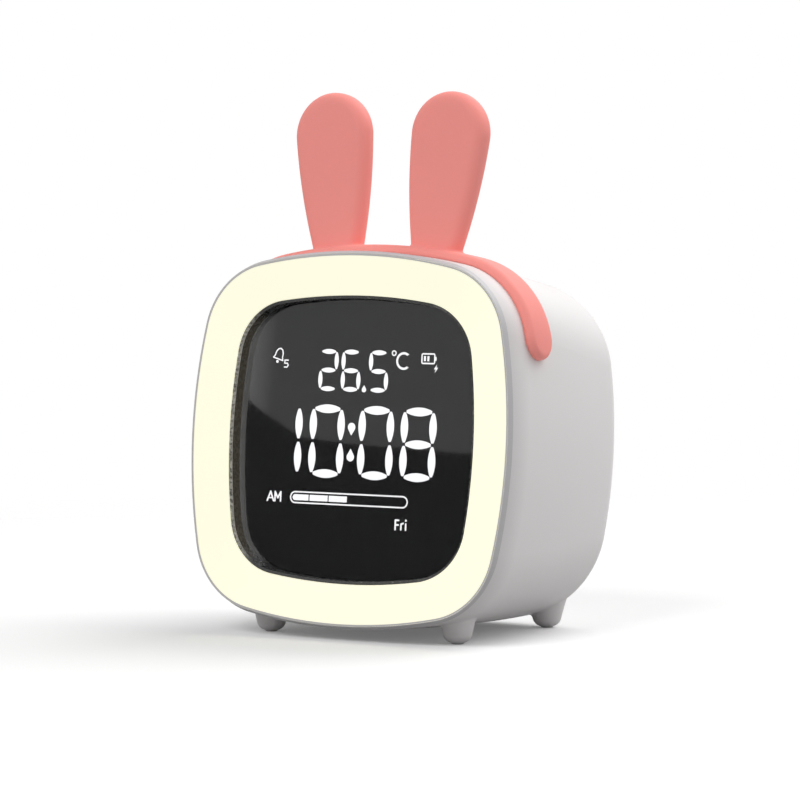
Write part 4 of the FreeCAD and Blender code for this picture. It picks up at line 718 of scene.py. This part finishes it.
def ear_rings():
    """Closed outlines of one ear from its front to its back: full edges and barely crowned faces."""
    right = ear_outline()
    outline = right + [(-x, z, -out_x, out_z) for x, z, out_x, out_z in reversed(right[:-1])]
    flat = EAR_THICKNESS / 2 - EAR_CROWN
    rings = []
    for step in range(-EAR_EDGE_STEPS, EAR_EDGE_STEPS + 1):
        angle = math.pi / 2 * step / EAR_EDGE_STEPS
        face = (flat - EAR_EDGE_R) * (step > 0) - (flat - EAR_EDGE_R) * (step < 0)
        ring = []
        for x, z, out_x, out_z in outline:
            spread = flare(x, z)
            shift = EAR_EDGE_R * (math.cos(angle) - 1) + spread * math.cos(angle)
            deep = face + (EAR_EDGE_R + spread) * math.sin(angle)
            ring.append((x + out_x * shift, deep, z + out_z * shift * (z > EAR_ROOT)))
        rings.append(ring)
    front, rear = rings[0], rings[-1]
    for share in EAR_FACE_SHARES:
        crown = EAR_CROWN * math.cos(share * math.pi / 2)
        rings.insert(0, [drawn_in(x, deep - crown, z, share) for x, deep, z in front])
        rings.append([drawn_in(x, deep + crown, z, share) for x, deep, z in rear])
    return rings


def drawn_in(x, deep, z, share):
    """A point of the ear's outline moved towards the ear's middle line."""
    middle = min(z, EAR_REACH)
    return x * share, deep, middle + (z - middle) * share


def ear_mesh(side):
    """One ear, turned outwards and set on the band."""
    mesh = bmesh.new()
    places = []
    for ring in ear_rings():
        across = [(ear_to_case(x, z, side), deep) for x, deep, z in ring]
        places.append([row_point(x, EAR_CENTRE_Y + deep, height) for (x, height), deep in across])
    last = add_rings(mesh, places)
    mesh.verts.ensure_lookup_table()
    mesh.faces.new(mesh.verts[:len(last)])
    mesh.faces.new(last)
    return mesh


def soft_band():
    """Band and ears joined into one closed skin."""
    band = finished_mesh("soft_band", band_mesh())
    for side in (-1, 1):
        piece = finished_mesh("ear", ear_mesh(side))
        union = band.modifiers.new("union", "BOOLEAN")
        union.operation = "UNION"
        union.solver = "EXACT"
        union.object = piece
        apply_modifiers(band)
        bpy.data.objects.remove(piece)
    clad(band, "ear_pink")
    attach(band, "case")
    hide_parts("ear_band")


def apply_modifiers(piece):
    """The evaluated mesh becomes the piece's own, and its modifiers go."""
    scene_graph = bpy.context.evaluated_depsgraph_get()
    data = bpy.data.meshes.new_from_object(piece.evaluated_get(scene_graph))
    old = piece.data
    piece.modifiers.clear()
    piece.data = data
    bpy.data.meshes.remove(old)


# Pieces that repeat, each drawn once and set on points

def solids(name):
    """The points of each separate solid of a CAD node, in the row's frame."""
    mesh = bmesh.new()
    mesh.from_mesh(nodes[name].data)
    mesh.transform(nodes[name].matrix_world)
    bmesh.ops.remove_doubles(mesh, verts=mesh.verts, dist=FINE_WELD)
    waiting = set(mesh.verts)
    found = []
    while waiting:
        group = [waiting.pop()]
        for vert in group:
            for edge in vert.link_edges:
                other = edge.other_vert(vert)
                if other in waiting:
                    waiting.remove(other)
                    group.append(other)
        found.append([vert.co.copy() for vert in group])
    mesh.free()
    return found


def extent(points):
    """Lowest corner, highest corner and middle of a cloud of points."""
    low = Vector([min(point[axis] for point in points) for axis in range(3)])
    high = Vector([max(point[axis] for point in points) for axis in range(3)])
    return low, high, (low + high) / 2


def geometry_tree(name, sizes):
    """A geometry tree from points to pieces, with its named sizes, and its two end nodes."""
    tree = bpy.data.node_groups.new(name, "GeometryNodeTree")
    tree.interface.new_socket(name="Points", in_out="INPUT", socket_type="NodeSocketGeometry")
    for label, value in sizes:
        socket = tree.interface.new_socket(name=label, in_out="INPUT", socket_type="NodeSocketFloat")
        socket.default_value = value
    tree.interface.new_socket(name="Finish", in_out="INPUT", socket_type="NodeSocketMaterial")
    tree.interface.new_socket(name="Pieces", in_out="OUTPUT", socket_type="NodeSocketGeometry")
    return tree, tree.nodes.new("NodeGroupInput"), tree.nodes.new("NodeGroupOutput")


def vector_of(tree, *values):
    """A vector from three sockets or numbers."""
    return fed(tree, add(tree, "ShaderNodeCombineXYZ"), *values)


def swept(tree, path, radius, sides, **rest):
    """A closed bar along a path, round or with the given number of sides."""
    circle = add(tree, "GeometryNodeCurvePrimitiveCircle", resolution=sides, radius=radius)
    return add(tree, "GeometryNodeCurveToMesh", fill_caps=True, curve=path, profile_curve=circle.outputs[0],
               **rest).outputs[0]


def turned_body(tree, radius, height, direction, scale, rings):
    """Body of revolution: a straight line swept with a circle whose size follows the given rule."""
    line = add(tree, "GeometryNodeCurvePrimitiveLine", mode="DIRECTION", direction=direction, length=height)
    spread = add(tree, "GeometryNodeResampleCurve", count=rings, curve=line.outputs[0])
    return swept(tree, spread.outputs[0], radius, ROUND_SIDES, scale=scale)


def moved(tree, shape, up, scale=(1, 1, 1)):
    """A shape moved along its own axis, and stretched."""
    offset = vector_of(tree, 0.0, 0.0, up)
    return add(tree, "GeometryNodeTransform", geometry=shape, translation=offset, scale=scale).outputs[0]


def placed_on_points(tree, start, end, shapes):
    """Joins the shapes, sets them on the points with each point's own turn, and gives them their finish."""
    join = add(tree, "GeometryNodeJoinGeometry")
    for shape in shapes:
        tree.links.new(shape, join.inputs[0])
    smooth = fed(tree, add(tree, "GeometryNodeSetShadeSmooth"), join.outputs[0])
    angle = add(tree, "GeometryNodeInputMeshEdgeAngle").outputs[0]
    crease = add(tree, "GeometryNodeSetShadeSmooth", domain="EDGE", shade_smooth=False,
                 selection=calc(tree, "GREATER_THAN", angle, CREASE_ANGLE))
    turn = add(tree, "GeometryNodeInputNamedAttribute", data_type="FLOAT_VECTOR", name="turn")
    rotation = fed(tree, add(tree, "FunctionNodeEulerToRotation"), turn.outputs[0])
    copies = add(tree, "GeometryNodeInstanceOnPoints", points=start.outputs["Points"],
                 instance=fed(tree, crease, smooth), rotation=rotation)
    real = fed(tree, add(tree, "GeometryNodeRealizeInstances"), copies.outputs[0])
    finish = add(tree, "GeometryNodeSetMaterial", geometry=real, material=start.outputs["Finish"])
    tree.links.new(finish.outputs[0], end.inputs[0])
    return tree


def screw_tree():
    """Pan head screws: a domed head with a cross cut into it, a shank and a thread wound round it."""
    tree, start, end = geometry_tree("cross_screws", (
        ("Head Radius", SCREW_HEAD_R * MM), ("Head Height", SCREW_HEAD_HEIGHT * MM),
        ("Shank Radius", SCREW_SHANK_R * MM), ("Length", SCREW_LENGTH * MM),
        ("Thread Pitch", SCREW_PITCH * MM), ("Cross Length", CROSS_LENGTH * MM),
        ("Cross Width", CROSS_WIDTH * MM), ("Cross Depth", CROSS_DEPTH * MM)))
    size = start.outputs
    along = add(tree, "GeometryNodeSplineParameter").outputs["Factor"]
    fall = calc(tree, "POWER", calc(tree, "SUBTRACT", 1.0, along), HEAD_DOME_POWER)
    round_off = calc(tree, "POWER", calc(tree, "SUBTRACT", 1.0, fall), 1 / HEAD_DOME_POWER)
    scale = calc(tree, "MULTIPLY_ADD", round_off, 1 - HEAD_TOP_SHARE, HEAD_TOP_SHARE)
    head = turned_body(tree, size["Head Radius"], size["Head Height"], (0, 0, -1), scale, rings=12)
    cut = add(tree, "GeometryNodeMeshBoolean", operation="DIFFERENCE")
    tree.links.new(head, cut.inputs["Mesh 1"])
    deep = calc(tree, "MULTIPLY", size["Cross Depth"], 2.0)
    long, wide = size["Cross Length"], size["Cross Width"]
    for across, up in ((long, wide), (wide, long)):
        bar = add(tree, "GeometryNodeMeshCube", size=vector_of(tree, across, up, deep))
        tree.links.new(bar.outputs[0], cut.inputs["Mesh 2"])
    core = calc(tree, "MULTIPLY", size["Shank Radius"], THREAD_CORE)
    shank_length = calc(tree, "SUBTRACT", size["Length"], size["Head Height"])
    shank = add(tree, "GeometryNodeMeshCylinder", vertices=20, radius=core, depth=shank_length)
    middle = calc(tree, "MULTIPLY_ADD", shank_length, -0.5, calc(tree, "MULTIPLY", size["Head Height"], -1.0))
    wound = calc(tree, "MULTIPLY", shank_length, THREAD_WOUND)
    spiral = add(tree, "GeometryNodeCurveSpiral", resolution=16, start_radius=core, end_radius=core,
                 height=wound, rotations=calc(tree, "DIVIDE", wound, size["Thread Pitch"]))
    ridge = calc(tree, "MULTIPLY", size["Shank Radius"], THREAD_RIDGE)
    thread = swept(tree, spiral.outputs[0], ridge, sides=4)
    tip = calc(tree, "MULTIPLY", size["Length"], -1.0)
    foot = calc(tree, "MULTIPLY_ADD", shank_length, THREAD_RUN_OUT, tip)
    shapes = cut.outputs["Mesh"], moved(tree, shank.outputs[0], middle), moved(tree, thread, foot)
    return placed_on_points(tree, start, end, shapes)


def pad_tree():
    """Round pads with softened edges."""
    tree, start, end = geometry_tree("foot_pads", (("Radius", PAD_R * MM), ("Thickness", PAD_THICKNESS * MM)))
    along = add(tree, "GeometryNodeSplineParameter").outputs["Factor"]
    off_middle = calc(tree, "ABSOLUTE", calc(tree, "MULTIPLY_ADD", along, 2.0, -1.0))
    scale = calc(tree, "MULTIPLY_ADD", calc(tree, "POWER", off_middle, PAD_EDGE_POWER), -PAD_EDGE_DRAW, 1.0)
    body = turned_body(tree, start.outputs["Radius"], start.outputs["Thickness"], (0, 0, 1), scale, rings=14)
    return placed_on_points(tree, start, end, (body,))


def lamp_tree():
    """Lamps: a flat block with a low lens on it."""
    tree, start, end = geometry_tree("board_lamps", (
        ("Length", LAMP_LENGTH * MM), ("Width", LAMP_WIDTH * MM), ("Height", LAMP_HEIGHT * MM),
        ("Body Share", LAMP_BODY_SHARE)))
    size = start.outputs
    body_height = calc(tree, "MULTIPLY", size["Height"], size["Body Share"])
    block_size = vector_of(tree, size["Length"], size["Width"], body_height)
    block = add(tree, "GeometryNodeMeshCube", size=block_size)
    body = moved(tree, block.outputs[0], calc(tree, "MULTIPLY", body_height, 0.5))
    lens_r = calc(tree, "MULTIPLY", size["Width"], LENS_SHARE)
    ball = add(tree, "GeometryNodeMeshUVSphere", segments=24, rings=12, radius=lens_r)
    share = calc(tree, "DIVIDE", calc(tree, "SUBTRACT", size["Height"], body_height), lens_r)
    lens = moved(tree, ball.outputs[0], body_height, vector_of(tree, 1.0, 1.0, share))
    return placed_on_points(tree, start, end, (body, lens))


def grown(name, places, tree, sizes, finish, node):
    """A node's repeated pieces from a geometry tree: places are (point, turn), sizes are by input's name."""
    data = bpy.data.meshes.new(name)
    data.from_pydata([tuple(point) for point, turn in places], [], [])
    turns = data.attributes.new("turn", "FLOAT_VECTOR", "POINT")
    for index, (point, turn) in enumerate(places):
        turns.data[index].vector = turn.to_euler()
    piece = new_object(name, data)
    modifier = piece.modifiers.new(name, "NODES")
    modifier.node_group = tree
    values = dict(sizes, Finish=FINISHES[finish])
    for item in tree.interface.items_tree:
        if item.in_out == "INPUT" and item.name in values:
            modifier[item.identifier] = values[item.name]
    apply_modifiers(piece)
    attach(piece, "case")
    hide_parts(node)


def screws(node, upright=False):
    """The screws of one node; each head's top is read off its solid, and all take the length read off the
    last solid.
    """
    axis = 2 if upright else 1
    up = row_direction(0, 0, 1) if upright else row_direction(0, 1, 0)
    places = []
    for cloud in solids(node):
        low, high, middle = extent([case_point(point) for point in cloud])
        middle[axis] = high[axis]
        length = high[axis] - low[axis]
        places.append((row_point(*middle), up.to_track_quat("Z", "X")))
    grown("drawn_" + node, places, SCREWS, {"Length": length * MM}, "screw_steel", node)


def pads():
    """The pads under the feet, which stand plumb."""
    places = []
    for cloud in solids("foot_pads"):
        low, _, middle = extent(cloud)
        middle.z = low.z
        places.append((middle, Quaternion()))
    grown("drawn_foot_pads", places, PADS, {}, "pad_clear", "foot_pads")


def lamps_on_board():
    """The lamps on the front board, whose lenses face forwards."""
    turn = row_direction(0, -1, 0).to_track_quat("Z", "Y")
    places = []
    for cloud in solids("light_ring_lamps"):
        low, high, middle = extent([case_point(point) for point in cloud])
        middle.y = high.y
        lies_across = high.x - low.x > high.z - low.z
        roll = Quaternion((0, 0, 1), 0.0 if lies_across else math.pi / 2)
        places.append((row_point(*middle), turn @ roll))
    grown("drawn_lamps", places, LAMPS, {}, "lamp_yellow", "light_ring_lamps")


SCREWS = screw_tree()
PADS = pad_tree()
LAMPS = lamp_tree()


def window():
    """The clear window, its rear face a hair off the rim behind it."""
    data = nodes["screen_window"].data.copy()
    data.transform(nodes["screen_window"].matrix_world)
    for vert in data.vertices:
        x, depth, height = case_point(vert.co)
        if depth > WINDOW_REAR - WINDOW_RELIEF:
            vert.co = row_point(x, depth - WINDOW_RELIEF, height)
    piece = new_object("clear_window", data)
    clad(piece, "window_smoke")
    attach(piece, "case")
    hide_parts("screen_window")


# Studio

def seen_directly(tree):
    """1 for rays from the camera, mirrors and clear pieces, 0 for the light that reaches the object."""
    path = add(tree, "ShaderNodeLightPath").outputs
    mirrored = calc(tree, "MAXIMUM", path["Is Glossy Ray"], path["Is Transmission Ray"])
    return calc(tree, "MAXIMUM", path["Is Camera Ray"], mirrored)


def floor():
    """Pale floor that keeps the object's shadow and fades into the white around it."""
    ground = bmesh.new()
    bmesh.ops.create_circle(ground, cap_ends=True, segments=96, radius=FLOOR_RADIUS)
    piece = finished_mesh("floor", ground, smooth=False)
    made, tree, shader = new_material("floor_pale", roughness=0.9, specular_ior_level=0.0,
                                      emission_strength=1.0)
    seen = seen_directly(tree)
    away = add(tree, "ShaderNodeVectorMath", operation="LENGTH", vector=object_place(tree)).outputs["Value"]
    wire(tree, shader, base_color=mix_colours(tree, seen, grey(FLOOR_TO_OBJECT), grey(FLOOR_TONE)),
         emission_color=mix_colours(tree, seen, grey(0), grey(FLOOR_FILL)),
         alpha=ramp(tree, away, FLOOR_FADE, FLOOR_RADIUS, 1.0, 0.0))
    piece.data.materials.append(made)


def world():
    """Soft light from all round, with a plain white look."""
    made = bpy.data.worlds.new("studio")
    bpy.context.scene.world = made
    made.use_nodes = True
    tree = made.node_tree
    tree.nodes.clear()
    soft, white = [add(tree, "ShaderNodeBackground", color=grey(1), strength=strength).outputs[0]
                   for strength in (WORLD_SOFT, 1.0)]
    look = fed(tree, add(tree, "ShaderNodeMixShader"), seen_directly(tree), soft, white)
    add(tree, "ShaderNodeOutputWorld", surface=look)


def mirrored_card(name, distance, edge, foot):
    """Upright card in front, to the left, that only mirrors see; its corners are (across, height)."""
    mesh = bmesh.new()
    corners = list(edge) + [(edge[-1][0], foot), (edge[0][0], foot)]
    mesh.faces.new([mesh.verts.new(CARD_AHEAD * distance + CARD_ACROSS * across + Vector((0, 0, height)))
                    for across, height in corners])
    piece = finished_mesh(name, mesh, smooth=False)
    for rays in ("camera", "diffuse", "transmission", "shadow"):
        setattr(piece, "visible_" + rays, False)
    return piece


def dark_card():
    """What the window mirrors in its lower half."""
    piece = mirrored_card("dark_card", CARD_DISTANCE, CARD_EDGE, CARD_FOOT)
    made, tree, shader = new_material("card_black", roughness=1.0, base_color=grey(CARD_TONE),
                                      specular_ior_level=0.0)
    piece.data.materials.append(made)


def pale_panel():
    """What the window mirrors in its upper half: white, and brighter to one side."""
    edge = ((PANEL_HALF, PANEL_HALF), (-PANEL_HALF, PANEL_HALF))
    piece = mirrored_card("pale_panel", PANEL_DISTANCE, edge, 0.0)
    made, tree, shader = new_material("panel_white", base_color=grey(0), emission_color=grey(1),
                                      specular_ior_level=0.0)
    side = add(tree, "ShaderNodeVectorMath", operation="DOT_PRODUCT")
    fed(tree, side, object_place(tree), CARD_ACROSS)
    wire(tree, shader, emission_strength=ramp(tree, side.outputs["Value"], *PANEL_SIDE, *PANEL_LIGHT))
    piece.data.materials.append(made)


def studio():
    """Everything around the clock."""
    floor()
    world()
    dark_card()
    pale_panel()
    for name, place, target, size, power in STUDIO_LAMPS:
        lamp(name, Vector(place), Vector(target), size, power)


def lamp(name, place, target, size, power):
    """A square area lamp aimed at a place."""
    data = bpy.data.lights.new(name, "AREA")
    data.size = size
    data.energy = power
    piece = new_object(name, data)
    piece.location = place
    piece.rotation_euler = (target - place).to_track_quat("-Z", "Y").to_euler()


def camera():
    """The camera fitted to the photograph."""
    data = bpy.data.cameras.new("camera")
    data.sensor_width = CAMERA_SENSOR
    data.lens = CAMERA_LENS
    data.clip_start, data.clip_end = CAMERA_CLIP
    piece = new_object("camera", data)
    level = math.cos(CAMERA_RISE)
    back = Vector((math.sin(CAMERA_TURN) * level, -math.cos(CAMERA_TURN) * level, math.sin(CAMERA_RISE)))
    x, y, z = CAMERA_TARGET
    target = Vector((x, y + FACE_PLANE_Y, z)) * MM
    piece.location = target + back * CAMERA_DISTANCE * MM
    piece.rotation_euler = (-back).to_track_quat("-Z", "Y").to_euler()
    bpy.context.scene.camera = piece


dress_nodes()
soft_band()
window()
for screw_node in ("rear_cover_screws", "front_board_screws", "front_pack_screws", "main_board_screws"):
    screws(screw_node)
screws("battery_cradle_screws", upright=True)
pads()
lamps_on_board()
studio()
camera()
bpy.context.scene.view_settings.view_transform = "Standard"
